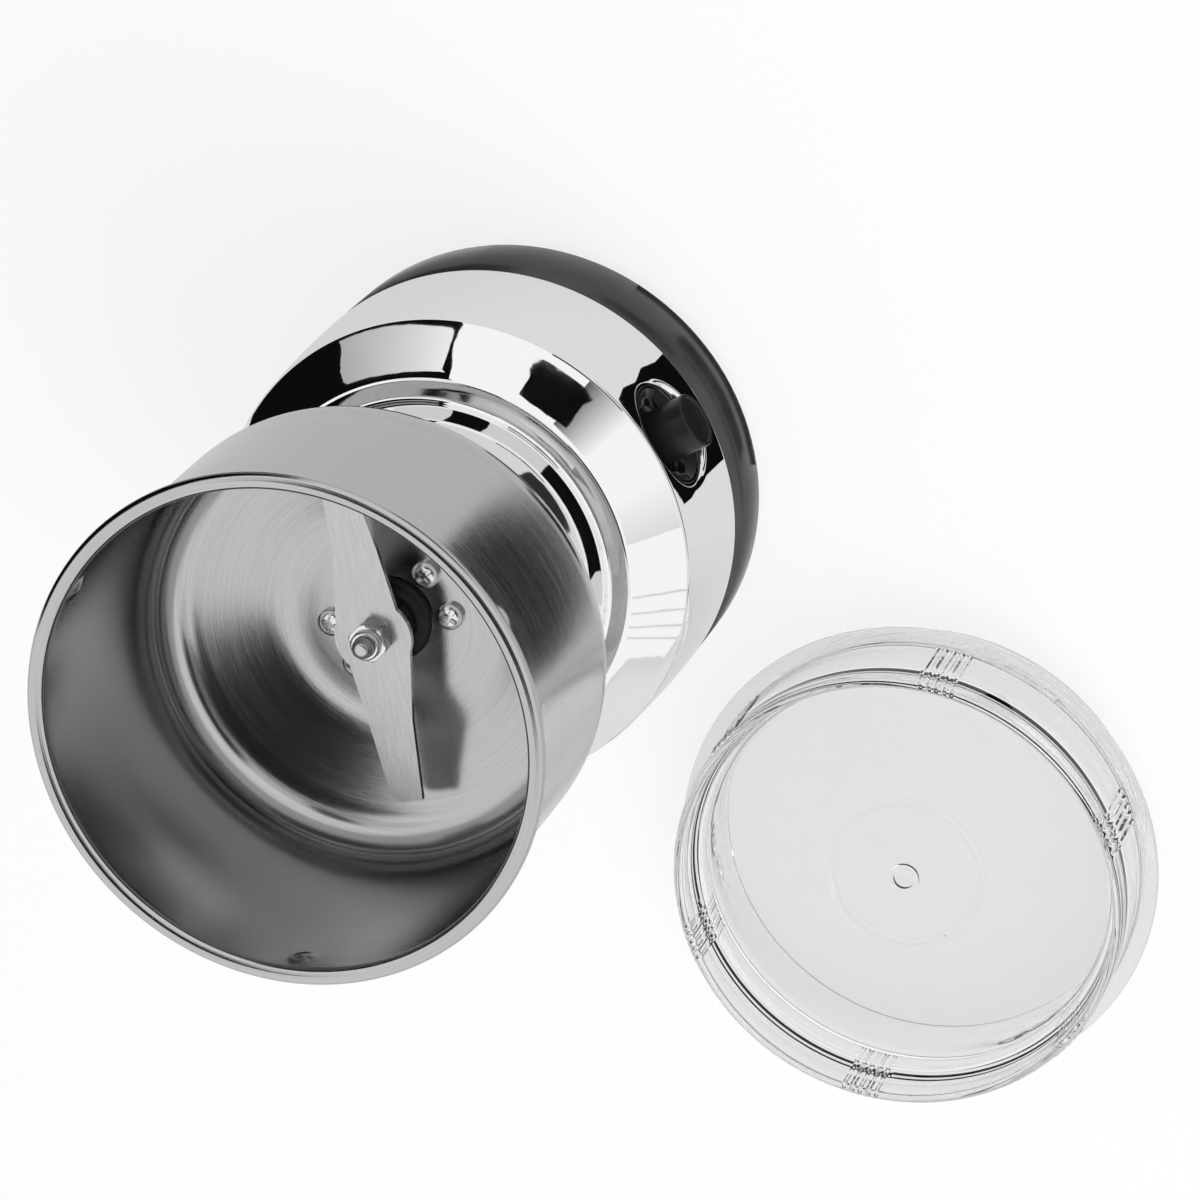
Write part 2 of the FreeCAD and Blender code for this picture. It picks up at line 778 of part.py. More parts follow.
# Base cover: a tray with a locating lip, four screw columns, vents and sockets for the feet
base = new_body("base_cover")
base_inner = "(base_radius - base_wall)"
lip_inner = f"({lip_outer} - lip_thickness)"
turn(
    base,
    [
        ("0", "foot_height"),
        ("base_radius - base_edge_radius", "foot_height"),
        (
            "base_radius",
            "foot_height + base_edge_radius",
            "base_radius - base_edge_radius",
            "foot_height + base_edge_radius",
        ),
        ("base_radius", "shell_bottom"),
        (lip_outer, "shell_bottom"),
        (lip_outer, lip_top),
        (lip_inner, lip_top),
        (lip_inner, "shell_bottom - lip_root"),
        (base_inner, "shell_bottom - lip_root - lip_step"),
        (base_inner, base_floor_top),
        ("0", base_floor_top),
    ],
)
column_place = round_the_axis("base_screw_circle_radius", screw_angle)
column = new_sketch(base, "XY_Plane", "foot_height")
draw_circle(column, *column_place, "column_radius")
repeat(base, [pad(base, column, f"{lip_top} - foot_height")], "base_screw_count")
clearance = new_sketch(base, "XY_Plane", boss_bottom)
draw_circle(clearance, *column_place, "screw_hole_radius")
repeat(base, [pocket(base, clearance, f"{boss_bottom} - foot_height + base_floor")], "base_screw_count")
counterbore = new_sketch(base, "XY_Plane", "base_screw_seat")
draw_circle(counterbore, *column_place, "screw_head_radius + column_gap")
repeat(base, [pocket(base, counterbore, "base_screw_seat")], "base_screw_count")
socket = new_sketch(base, "XY_Plane", base_floor_top)
draw_circle(socket, *round_the_axis("foot_circle_radius", "foot_angle"), "foot_stem_radius")
repeat(base, [pocket(base, socket, "base_floor * 2")], "foot_count")
vent = new_sketch(base, "XY_Plane", base_floor_top)
draw(vent, box_outline("vent_inner_radius", "vent_outer_radius", "-vent_width / 2", "vent_width / 2"))
repeat(base, [pocket(base, vent, "base_floor * 2")], "vent_count")
inlet = new_sketch(base, "XZ_Plane", f"-({base_inner} - inlet_flange * 2)")
draw_circle(inlet, "0", "inlet_height", "inlet_bush_radius + inlet_gap")
pocket(base, inlet, "base_wall * 3")
finish(base, "base_cover")

# Four screws run up through the base columns into the shell's bosses
group(
    "base_screws",
    [
        screw(
            f"base_screw_{index}",
            "screw_head_radius",
            "screw_head_height",
            "base_screw_seat",
            "(base_screw_seat + base_screw_length)",
            *round_the_axis("base_screw_circle_radius", f"{screw_angle} + {index} * 360 / base_screw_count"),
            f"{10 + 31 * index}",
        )
        for index in range(sizes["base_screw_count"])
    ],
)

# Rubber feet: a shallow suction dish with a stem and a barb that snaps into the base floor
feet = []
for index in range(sizes["foot_count"]):
    foot = new_body(f"foot_{index}")
    stem = "(foot_stem_radius - foot_stem_gap)"
    turn(
        foot,
        [
            ("0", "foot_hollow"),
            ("foot_ring_inner - foot_hollow * 2", "foot_hollow"),
            ("foot_ring_inner", "0"),
            ("foot_ring_inner + foot_ring_width", "0"),
            ("foot_radius", "foot_edge"),
            ("foot_radius", "foot_height - foot_edge"),
            ("foot_radius - foot_edge", "foot_height"),
            (stem, "foot_height"),
            (stem, f"{base_floor_top} + foot_stem_gap"),
            (f"{stem} + foot_barb", f"{base_floor_top} + foot_stem_gap"),
            (f"{stem} - foot_barb", f"{base_floor_top} + foot_barb_height"),
            ("0", f"{base_floor_top} + foot_barb_height"),
        ],
    )
    place(foot, *round_the_axis("foot_circle_radius", f"(foot_angle + 360 / foot_count * {index})"))
    feet.append(foot)
group("feet", feet)

# Bush in the rear wall, where the mains lead enters
gland = new_body("cord_gland")
gland_front = "(base_radius + inlet_gap)"
gland_back = f"(sqrt({base_inner} ^ 2 - inlet_flange_radius ^ 2) - inlet_gap)"
turn(
    gland,
    [
        ("inlet_bore_radius", f"{gland_back} - inlet_flange"),
        ("inlet_flange_radius", f"{gland_back} - inlet_flange"),
        ("inlet_flange_radius", gland_back),
        ("inlet_bush_radius", gland_back),
        ("inlet_bush_radius", gland_front),
        ("inlet_flange_radius", gland_front),
        ("inlet_flange_radius", f"{gland_front} + inlet_flange / 2"),
        ("inlet_flange_radius - inlet_flange / 2", f"{gland_front} + inlet_flange"),
        ("inlet_bore_radius", f"{gland_front} + inlet_flange"),
    ],
    "XY_Plane",
)
finish(place(gland, up="inlet_height"), "cord_gland")

# Black ring round the button: a dished front, a flange behind the shell and two arms for the switch
bezel = new_body("button_bezel")
bezel_bore = "(button_radius + button_gap)"
bezel_outer = "(button_hole_radius - bezel_gap)"
bezel_seat = "(lip_ring_back - bezel_gap)"
bezel_back = f"({bezel_seat} - bezel_flange)"
turn(
    bezel,
    [
        (bezel_bore, f"-{bezel_back}"),
        ("bezel_flange_radius", f"-{bezel_back}"),
        ("bezel_flange_radius", f"-{bezel_seat}"),
        (bezel_outer, f"-{bezel_seat}"),
        (bezel_outer, "-bezel_front"),
        (f"{bezel_outer} - bezel_rim", "-bezel_front"),
        (f"{bezel_bore} + bezel_land", f"-{bezel_seat} - bezel_lip"),
        (bezel_bore, f"-{bezel_seat} - bezel_lip"),
    ],
    "XY_Plane",
)
arm_inner = "(switch_half_width + button_gap)"
arm_tip = "(switch_front - switch_depth / 2)"
for side in ("", "-"):
    arm = new_sketch(bezel, "XZ_Plane", arm_tip)
    near, far = f"{side}({arm_inner})", f"{side}({arm_inner} + bezel_arm_thickness)"
    low, high = "-bezel_arm_thickness * 2", "bezel_arm_thickness * 2"
    draw(arm, box_outline(near, far, low, high))
    pad(bezel, arm, f"{bezel_back} - {arm_tip}")
finish(place(bezel, up="button_height"), "button_bezel")

# Push button: a round cap with a thin raised rim, a flange that stops it in the ring, and a stem
cap = new_body("button_cap")
stop_face = f"({bezel_back} - button_gap)"
stem_tip = "(switch_front + button_travel + button_gap * 2)"
turn(
    cap,
    [
        ("0", f"-{stem_tip}"),
        ("button_stem_radius", f"-{stem_tip}"),
        ("button_stem_radius", f"-{stop_face} + button_flange"),
        ("button_flange_radius", f"-{stop_face} + button_flange"),
        ("button_flange_radius", f"-{stop_face}"),
        ("button_radius", f"-{stop_face}"),
        ("button_radius", "-button_face + button_rim"),
        (
            "button_radius - button_rim",
            "-button_face",
            "button_radius - button_rim",
            "-button_face + button_rim",
        ),
        ("button_radius - button_rim * 1.6", "-button_face"),
        ("button_radius - button_rim * 2.2", "-button_face + button_dish * 0.6"),
        ("0", "-button_face + button_dish"),
    ],
    "XY_Plane",
)
finish(place(cap, up="button_height"), "button_cap")

# Return spring round the stem, between the button's flange and the switch
spring = new_body("button_spring")
coil = new_sketch(spring, "XY_Plane", "0")
draw_circle(coil, "spring_radius", "-(switch_front + spring_wire_radius + button_gap)", "spring_wire_radius")
helix = shape_up(
    spring,
    "AdditiveHelix",
    coil,
    ReferenceAxis=(coil, ["V_Axis"]),
    Mode=0,
    Reversed=True,
    Pitch="spring_pitch",
    Height=f"{stop_face} - button_flange - switch_front - spring_wire_radius * 2 - button_gap * 2",
)
finish(place(spring, up="button_height"), "button_spring")

# Switch: a moulded case with a round port, a plunger that the button's stem pushes, and two tabs
switch = new_body("switch_body")
case = new_sketch(switch, "XZ_Plane", "switch_front - switch_depth")
draw(case, box_outline("-switch_half_width", "switch_half_width", "switch_low", "switch_high"))
pad(switch, case, "switch_depth")
port = new_sketch(switch, "XZ_Plane", "switch_front")
draw_circle(port, "0", "button_height", "plunger_radius + button_gap")
pocket(switch, port, "switch_depth - switch_back_wall")
finish(switch, "switch_body")
plunger = new_body("switch_plunger")
turn(
    plunger,
    [
        ("0", "-(switch_front - button_travel)"),
        ("plunger_radius", "-(switch_front - button_travel)"),
        ("plunger_radius", f"-{stem_tip}"),
        ("0", f"-{stem_tip}"),
    ],
    "XY_Plane",
)
finish(place(plunger, up="button_height"), "switch_plunger")
tabs = []
for index, side in enumerate(("-1", "1")):
    tab_middle = f"({side} * switch_half_width / 2)"
    tab_along = "(-switch_front + switch_depth / 2)"
    tabs.append(
        box(
            f"tab_{index}",
            (f"{tab_middle} - tab_width / 2", f"{tab_middle} + tab_width / 2"),
            (tab_along, f"{tab_along} + tab_thickness"),
            ("switch_low - tab_length", "switch_low"),
        )
    )
group("switch_terminals", tabs)

# Motor brackets: plates with a bearing cup in the middle and two arms that clamp the stack
arm_near = "(bracket_arm_place - bracket_arm_depth / 2)"
arm_far = "(bracket_arm_place + bracket_arm_depth / 2)"
arm_sides = ("-bracket_arm_width / 2", "bracket_arm_width / 2")
cup_outer = "(bearing_radius + bearing_cup_wall)"


def bracket_arms(name, bottom, top):
    return [
        box(f"{name}_arm_back", arm_sides, (arm_near, arm_far), (bottom, top)),
        box(f"{name}_arm_front", arm_sides, (f"-{arm_far}", f"-{arm_near}"), (bottom, top)),
    ]


def arm_holes(name, radius, bottom, length):
    return [
        rod(f"{name}_hole_back", radius, bottom, length, "0", "bracket_arm_place"),
        rod(f"{name}_hole_front", radius, bottom, length, "0", "-bracket_arm_place"),
    ]


top_body = fuse(
    "top_bracket_body",
    [
        rod("top_plate", "bracket_radius", "bracket_bottom", "bracket_plate"),
        rod("top_bearing_cup", cup_outer, "top_cup_bottom", "top_cup_depth"),
        *bracket_arms("top", stack_top, "bracket_bottom"),
    ],
)
top_cuts = [
    rod("top_bore", "bearing_radius", "top_cup_bottom", "top_cup_depth + bracket_plate"),
    *arm_holes("top", "screw_pilot_radius", stack_top, "motor_screw_thread + screw_shank_radius"),
]
for index, (across, along) in enumerate(cup_screw_places):
    top_cuts.append(
        rod(f"top_thread_{index}", "screw_pilot_radius", "bracket_bottom", "bracket_plate", across, along)
    )
finish(cut("top_bracket_cut", top_body, fuse("top_cuts", top_cuts)), "top_bracket")

bottom_body = fuse(
    "bottom_bracket_body",
    [
        box(
            "bottom_strip",
            arm_sides,
            (f"-{arm_far}", arm_far),
            ("bottom_plate_height", "bottom_plate_top"),
        ),
        box(
            "brush_strip",
            ("-holder_outer", "holder_outer"),
            ("-brush_half - holder_wall", "brush_half + holder_wall"),
            ("bottom_plate_height", "bottom_plate_top"),
        ),
        *[
            box(
                f"holder_post_{name}",
                reach,
                ("-brush_half - holder_wall", "brush_half + holder_wall"),
                ("bottom_plate_top", "brush_height - brush_half - holder_wall"),
            )
            for name, reach in (
                ("right", ("holder_inner + holder_wall", "holder_outer")),
                ("left", ("-holder_outer", "-(holder_inner + holder_wall)")),
            )
        ],
        rod("bottom_bearing_cup", cup_outer, "bottom_cup_bottom", "bottom_plate_top - bottom_cup_bottom"),
        *bracket_arms("bottom", "bottom_plate_height", "stack_bottom"),
    ],
)
bottom_cuts = [
    rod("bottom_bore", "bearing_radius", "bottom_plate_top - bearing_length", "bearing_length"),
    *arm_holes("bottom", "screw_hole_radius", "bottom_plate_height", "stack_bottom - bottom_plate_height"),
]
finish(cut("bottom_bracket_cut", bottom_body, fuse("bottom_cuts", bottom_cuts)), "bottom_bracket")

# Two long screws clamp bracket, stack and bracket together
group(
    "motor_screws",
    [
        screw(
            f"motor_screw_{index}",
            "screw_head_radius",
            "screw_head_height",
            "bottom_plate_height",
            f"({stack_top} + motor_screw_thread)",
            "0",
            f"{side} * bracket_arm_place",
            f"{20 + 40 * index}",
        )
        for index, side in enumerate((-1, 1))
    ],
)

# Sintered bushes that the shaft runs in
for name, bottom in (
    ("top_bearing", "top_cup_bottom"),
    ("bottom_bearing", "(bottom_plate_top - bearing_length)"),
):
    bush = new_body(name)
    bush_top = f"{bottom} + bearing_length"
    turn(bush, box_outline("shaft_radius + bearing_gap", "bearing_radius", bottom, bush_top))
    finish(bush, name)

# Laminated stack with a round bore and a window on each side of each pole
stack = new_body("stator_core")
plan = new_sketch(stack, "XY_Plane", "stack_bottom")
half_short = "stack_short / 2"
draw(plan, round_box_outline("stack_long / 2", f"-{half_short}", half_short, "stack_corner_radius"))
draw_circle(plan, "0", "0", "stack_bore_radius")
for across_side in ("", "-"):
    for along_side in ("", "-"):
        sides = (f"{across_side}window_inner", f"{across_side}window_outer")
        draw(plan, box_outline(*sides, f"{along_side}window_low", f"{along_side}window_high"))
draw_circle(plan, "0", "bracket_arm_place", "screw_hole_radius")
draw_circle(plan, "0", "-bracket_arm_place", "screw_hole_radius")
pad(stack, plan, "stack_height")
finish(stack, "stator_core")

# Field coils: one racetrack of enamelled wire through the windows of each pole
coils = []
for index, side in enumerate(("", "-")):
    winding = new_body(f"field_coil_{index}")
    start = "(window_inner + coil_gap)" if side == "" else "-(window_outer - coil_gap)"
    ring = new_sketch(winding, "YZ_Plane", start)
    low, high = "(stack_bottom - coil_gap - coil_overhang)", f"({stack_top} + coil_gap + coil_overhang)"
    draw(ring, round_box_outline("window_high - coil_gap", low, high, "coil_corner_radius"))
    hole_low, hole_high = "(stack_bottom - coil_gap)", f"({stack_top} + coil_gap)"
    half_hole = "window_low + coil_gap"
    draw(ring, box_outline(f"-({half_hole})", half_hole, hole_low, hole_high))
    pad(winding, ring, "window_outer - window_inner - coil_gap * 2")
    coils.append(winding)
group("field_coils", coils)

# Armature: a slotted stack on the shaft, with wound ends above and below
armature = new_body("armature_core")
round_plan = new_sketch(armature, "XY_Plane", "stack_bottom")
armature_radius = "(stack_bore_radius - air_gap)"
draw_circle(round_plan, "0", "0", armature_radius)
draw_circle(round_plan, "0", "0", "shaft_radius")
pad(armature, round_plan, "stack_height")
slot = new_sketch(armature, "XY_Plane", stack_top)
draw(
    slot,
    box_outline(f"{armature_radius} - slot_depth", "stack_bore_radius", "-slot_width / 2", "slot_width / 2"),
)
repeat(armature, [pocket(armature, slot, "stack_height")], "slot_count")
finish(armature, "armature_core")
windings = []
for name, face, away in (("upper", stack_top, "+"), ("lower", "stack_bottom", "-")):
    end = new_body(f"{name}_winding")
    crown = f"{face} {away} winding_height"
    corner = "winding_height * 0.4"
    turn(
        end,
        [
            ("shaft_radius", face),
            ("shaft_radius", crown),
            (f"winding_radius - {corner}", crown),
            (
                "winding_radius",
                f"{face} {away} (winding_height - {corner})",
                f"winding_radius - {corner}",
                f"{face} {away} (winding_height - {corner})",
            ),
            ("winding_radius", face),
        ],
    )
    windings.append(end)
group("armature_windings", windings)

# Commutator: copper bars round the shaft, with fine gaps between them
commutator = new_body("commutator")
commutator_top = "(commutator_bottom + commutator_length)"
turn(commutator, box_outline("shaft_radius", "commutator_radius", "commutator_bottom", commutator_top))
gap = new_sketch(commutator, "XY_Plane", commutator_top)
segment_reach = ("commutator_radius - segment_cut", "commutator_radius + segment_cut")
draw(gap, box_outline(*segment_reach, "-segment_gap / 2", "segment_gap / 2"))
repeat(commutator, [pocket(commutator, gap, "commutator_length")], "slot_count")
finish(commutator, "commutator")

# Fan above the armature, which draws air up through the motor
fan = new_body("cooling_fan")
hub_radius = "(shaft_radius + fan_disc * 2)"
fan_top = "(fan_bottom + fan_height)"
turn(
    fan,
    [
        ("shaft_radius", "fan_bottom"),
        ("fan_radius", "fan_bottom"),
        ("fan_radius", "fan_bottom + fan_disc"),
        (hub_radius, "fan_bottom + fan_disc"),
        (hub_radius, fan_top),
        ("shaft_radius", fan_top),
    ],
)
vane = new_sketch(fan, "XY_Plane", "fan_bottom + fan_disc / 2")
draw(vane, box_outline(f"{hub_radius} - fan_disc", "fan_radius", "-fan_blade / 2", "fan_blade / 2"))
repeat(fan, [pad(fan, vane, "fan_height - fan_disc / 2")], "fan_blade_count")
finish(fan, "cooling_fan")

# Nylon washers that take up the shaft's end play
washers = []
for name, bottom in (
    ("upper_washer", "(top_cup_bottom - washer_gap - washer_thickness)"),
    ("lower_washer", "(bottom_plate_top + washer_gap)"),
):
    washer = new_body(name)
    turn(washer, box_outline("shaft_radius", "washer_radius", bottom, f"{bottom} + washer_thickness"))
    washers.append(washer)
group("thrust_washers", washers)

# Shaft with a threaded end that carries the blade and its nut
shaft = new_body("motor_shaft")
shaft_bottom = "(bottom_plate_top - bearing_length + washer_gap)"
dome = "shaft_thread_radius"
turn(
    shaft,
    [
        ("0", shaft_bottom),
        ("shaft_radius", shaft_bottom),
        ("shaft_radius", "blade_bottom"),
        ("shaft_thread_radius", "blade_bottom"),
        ("shaft_thread_radius", f"shaft_top - {dome} * 0.5"),
        ("shaft_thread_radius * 0.5", "shaft_top"),
        ("0", "shaft_top"),
    ],
)
finish(shaft, "motor_shaft")

# Seal in the cup floor, round the shaft
seal = new_body("shaft_seal")
turn(
    seal,
    [
        ("shaft_radius + seal_gap", "deck_bottom"),
        ("seal_radius", "deck_bottom"),
        ("seal_radius", cup_floor_top),
        ("seal_flange_radius", cup_floor_top),
        ("seal_flange_radius", f"{cup_floor_top} + seal_flange * 0.5"),
        ("seal_flange_radius - seal_flange * 0.5", f"{cup_floor_top} + seal_flange"),
        ("seal_radius", f"{cup_floor_top} + seal_flange"),
        ("seal_radius - seal_flange * 0.5", "seal_top"),
        ("shaft_radius + seal_gap", "seal_top"),
    ],
)
finish(seal, "shaft_seal")

# Collar on the shaft that carries the blade clear of the seal
spacer = new_body("blade_spacer")
turn(spacer, box_outline("shaft_radius", "spacer_radius", "seal_top + spacer_gap", "blade_bottom"))
finish(spacer, "blade_spacer")

# Blade: a round boss and two tapering wings, each bent up a little
blade = new_body("blade")
disc = new_sketch(blade, "XY_Plane", "blade_bottom")
draw_circle(disc, "0", "0", "blade_boss_radius")
pad(blade, disc, "blade_thickness")
root = new_sketch(blade, "XY_Plane", "blade_bottom")
draw(
    root,
    [
        ("0", "-blade_root_trail"),
        ("blade_bend_place", "-blade_bend_trail"),
        ("blade_bend_place", "blade_bend_lead"),
        ("0", "blade_root_lead"),
    ],
)
root_pad = pad(blade, root, "blade_thickness")
wing = new_sketch(blade, "XY_Plane", "blade_bottom")
wing.AttachmentOffset = FreeCAD.Placement(V(), FreeCAD.Rotation(V(0, -1, 0), sizes["blade_bend_angle"]))
bind(wing, "AttachmentOffset.Base.x", "blade_bend_place")
bind(wing, "AttachmentOffset.Rotation.Angle", "blade_bend_angle")
wing_length = "(blade_tip_radius - blade_bend_place)"
draw(
    wing,
    [
        ("0", "blade_bend_lead"),
        ("0", "-blade_bend_trail"),
        (f"{wing_length} - blade_tip_rounding", "-blade_tip_trail"),
        (
            wing_length,
            "-blade_tip_trail + blade_tip_rounding",
            f"{wing_length} - blade_tip_rounding",
            "-blade_tip_trail + blade_tip_rounding",
        ),
        (wing_length, "blade_tip_lead"),
    ],
)
wing_pad = pad(blade, wing, "blade_thickness")
repeat(blade, [root_pad, wing_pad], "2")
blade_hole = new_sketch(blade, "XY_Plane", "blade_top")
draw_circle(blade_hole, "0", "0", "shaft_thread_radius + bearing_gap")
pocket(blade, blade_hole, "blade_thickness * 2")
bind(blade, "Placement.Rotation.Angle", "blade_turn")
finish(blade, "blade")

# Locking nut: a hexagon with turned corners and a round collar
nut = new_body("blade_nut")
hexagon = new_sketch(nut, "XY_Plane", "blade_top")
corner_reach = "(nut_across_flats / 2 / cos(30))"
draw(hexagon, [round_the_axis(corner_reach, f"(60 * {index} - 15)") for index in range(6)])
pad(nut, hexagon, "nut_hex_height")
hex_top = "(blade_top + nut_hex_height)"
turn(
    nut,
    [
        (f"{corner_reach} - nut_chamfer", hex_top),
        (corner_reach, f"{hex_top} - nut_chamfer"),
        (f"{corner_reach} + nut_chamfer", f"{hex_top} - nut_chamfer"),
        (f"{corner_reach} + nut_chamfer", hex_top),
    ],
    kind="Groove",
)
turn(
    nut,
    [
        ("0", "blade_top"),
        ("nut_collar_radius", "blade_top"),
        ("nut_collar_radius", "blade_top + nut_height - nut_chamfer"),
        ("nut_collar_radius - nut_chamfer", "blade_top + nut_height"),
        ("0", "blade_top + nut_height"),
    ],
)
nut_hole = new_sketch(nut, "XY_Plane", "blade_top + nut_height")
draw_circle(nut_hole, "0", "0", "shaft_thread_radius + bearing_gap")
pocket(nut, nut_hole, "nut_height")
finish(nut, "blade_nut")

# Brush gear on the bottom bracket: a square brass tube, a carbon brush, its spring and a cap per side
holder_half = "(brush_half + holder_wall)"
slot_half = "(brush_half + brush_gap)"
cap_half = f"({holder_half} - holder_wall / 2)"
brush_start = "(commutator_radius + brush_gap)"
brush_end = f"({brush_start} + brush_length)"


def square_bar(name, side, near, far, half):
    """A bar along X, square in section, on one side of the shaft at the brushes' height."""
    reach = (near, far) if side > 0 else (f"-({far})", f"-({near})")
    return box(name, reach, (f"-{half}", half), (f"brush_height - {half}", f"brush_height + {half}"))


holders = []
brushes = []
brush_springs = []
caps = []
for index, side in enumerate((1, -1)):
    tube = square_bar(f"tube_{index}", side, "holder_inner", "holder_outer", holder_half)
    slot_bar = square_bar(f"tube_slot_{index}", side, "holder_inner", "holder_outer", slot_half)
    holders.append(cut(f"holder_{index}", tube, slot_bar))
    brushes.append(square_bar(f"brush_{index}", side, brush_start, brush_end, "brush_half"))
    caps.append(square_bar(f"brush_cap_{index}", side, "holder_outer", "holder_outer + holder_cap", cap_half))
    coil_body = new_body(f"brush_spring_{index}")
    wire = new_sketch(coil_body, "XZ_Plane")
    coil_radius = "brush_half - spring_wire_radius * 2"
    draw_circle(wire, coil_radius, f"{brush_end} + spring_wire_radius", "spring_wire_radius")
    shape_up(
        coil_body,
        "AdditiveHelix",
        wire,
        ReferenceAxis=(wire, ["V_Axis"]),
        Mode=0,
        Pitch="spring_pitch",
        Height=f"holder_outer - {brush_end} - spring_wire_radius * 2",
    )
    coil_body.Placement = FreeCAD.Placement(V(), FreeCAD.Rotation(V(0, 1, 0), 90 * side))
    bind(coil_body, "Placement.Base.z", "brush_height")
    brush_springs.append(coil_body)
group("brush_holders", holders)
group("carbon_brushes", brushes)
group("brush_springs", brush_springs)
group("brush_caps", caps)

# Terminal block on the base floor beside the inlet
block = new_body("terminal_block")
block_plan = new_sketch(block, "XY_Plane", base_floor_top)
block_sides = ("block_across - block_long / 2", "block_across + block_long / 2")
draw(block_plan, box_outline(*block_sides, "block_back - block_deep / 2", "block_back + block_deep / 2"))
pad(block, block_plan, "block_high")
ways = new_sketch(block, "XY_Plane", f"{base_floor_top} + block_high")
for index in range(sizes["block_holes"]):
    way = f"(block_across + ({index} - (block_holes - 1) / 2) * block_long / block_holes)"
    draw_circle(ways, way, "block_back", "block_deep / 4")
pocket(block, ways, "block_high / 2")
finish(block, "terminal_block")

# Interference capacitor on the base floor
capacitor = new_body("suppressor_capacitor")
capacitor_plan = new_sketch(capacitor, "XY_Plane", base_floor_top)
draw(
    capacitor_plan,
    round_box_outline(
        "capacitor_long / 2",
        "(capacitor_back - capacitor_deep / 2)",
        "(capacitor_back + capacitor_deep / 2)",
        "capacitor_corner",
    ),
)
pad(capacitor, capacitor_plan, "capacitor_high")
finish(place(capacitor, across="capacitor_across"), "suppressor_capacitor")

# Thermal fuse strapped to the top of a field coil
fuse_body = new_body("thermal_fuse")
fuse_up = f"({stack_top} + coil_gap + coil_overhang + fuse_radius)"
fuse_sketch = new_sketch(fuse_body, "XZ_Plane", "-fuse_length / 2")
draw_circle(fuse_sketch, "(window_inner + window_outer) / 2 + coil_gap", fuse_up, "fuse_radius")
pad(fuse_body, fuse_sketch, "fuse_length")
finish(fuse_body, "thermal_fuse")

# Clear lid: a skirt that enters the cup, a flange that rests on its rim, an upper wall and a sunk plate
lid = new_body("lid")
tip_radius = "(lid_skirt_radius - lid_skirt_taper)"
half_wall = "(lid_wall / 2)"
flange_top = "(lid_skirt_height + lid_flange)"
lid_top = f"({flange_top} + lid_upper_height)"
upper_inner = "(lid_upper_radius - lid_wall)"
upper_middle = f"(lid_upper_radius - {half_wall})"
plate_top = f"({lid_top} - lid_recess_depth)"
dish_top = f"({plate_top} - lid_dish)"
turn(
    lid,
    [
        (upper_inner, "lid_skirt_height"),
        (f"{tip_radius} - lid_wall", half_wall),
        (f"{tip_radius} - {half_wall}", "0", f"{tip_radius} - {half_wall}", half_wall),
        (tip_radius, half_wall, f"{tip_radius} - {half_wall}", half_wall),
        ("lid_skirt_radius", "lid_skirt_height"),
        ("lid_flange_radius - lid_flange_edge", "lid_skirt_height"),
        (
            "lid_flange_radius",
            "lid_skirt_height + lid_flange_edge",
            "lid_flange_radius - lid_flange_edge",
            "lid_skirt_height + lid_flange_edge",
        ),
        ("lid_flange_radius", f"{flange_top} - lid_flange_edge"),
        (
            "lid_flange_radius - lid_flange_edge",
            flange_top,
            "lid_flange_radius - lid_flange_edge",
            f"{flange_top} - lid_flange_edge",
        ),
        ("lid_upper_radius", flange_top),
        ("lid_upper_radius", f"{lid_top} - {half_wall}"),
        (upper_middle, lid_top, upper_middle, f"{lid_top} - {half_wall}"),
        (upper_inner, f"{lid_top} - {half_wall}", upper_middle, f"{lid_top} - {half_wall}"),
        (upper_inner, f"{plate_top} + lid_recess_fillet"),
        (
            f"{upper_inner} - lid_recess_fillet",
            plate_top,
            f"{upper_inner} - lid_recess_fillet",
            f"{plate_top} + lid_recess_fillet",
        ),
        ("lid_disc_radius + lid_step", dish_top),
        ("lid_disc_radius + lid_step / 2", f"{dish_top} + lid_step"),
        ("lid_disc_radius - lid_step", f"{dish_top} + lid_step"),
        ("lid_disc_radius - lid_step * 1.5", dish_top),
        ("lid_ring_radius", dish_top),
        ("lid_ring_radius", f"{dish_top} + lid_step * 1.5"),
        ("lid_ring_radius - lid_ring_wall", f"{dish_top} + lid_step * 1.5"),
        ("lid_ring_radius - lid_ring_wall", f"{dish_top} - lid_step / 2"),
        ("0", f"{dish_top} - lid_step / 2"),
        ("0", f"{dish_top} - lid_wall"),
        ("lid_disc_radius", f"{dish_top} - lid_wall"),
        (f"{upper_inner} - lid_recess_fillet", f"{plate_top} - lid_wall"),
        (f"{upper_inner} - lid_under_fillet", f"{plate_top} - lid_wall"),
        (
            upper_inner,
            f"{plate_top} - lid_wall - lid_under_fillet",
            f"{upper_inner} - lid_under_fillet",
            f"{plate_top} - lid_wall - lid_under_fillet",
        ),
    ],
)
grips = new_sketch(lid, "XY_Plane", flange_top)
for index in range(sizes["grip_ribs"]):
    grip_angle = f"(({index} - (grip_ribs - 1) / 2) * grip_pitch / lid_upper_radius * 180 / pi)"
    draw_circle(grips, *round_the_axis("lid_upper_radius", grip_angle), "grip_radius")
repeat(lid, [pad(lid, grips, f"lid_upper_height - {half_wall}")], "grip_groups")
rib = new_sketch(lid, "XZ_Plane")
rib_low = "(lock_rib_top - lock_rib_drop)"
rib_root = f"({tip_radius} - lid_wall / 4)"
draw(
    rib,
    [
        (rib_root, rib_low),
        ("lock_rib_reach", f"{rib_low} + lock_rib_height * 0.2"),
        ("lock_rib_reach", f"{rib_low} + lock_rib_height * 0.8"),
        (rib_root, f"{rib_low} + lock_rib_height"),
    ],
)
rib_helix = shape_up(
    lid,
    "AdditiveHelix",
    rib,
    ReferenceAxis=(rib, ["V_Axis"]),
    Mode=1,
    LeftHanded=True,
    Pitch="lock_rib_drop * 360 / lock_rib_span",
    Turns="lock_rib_span / 360",
)
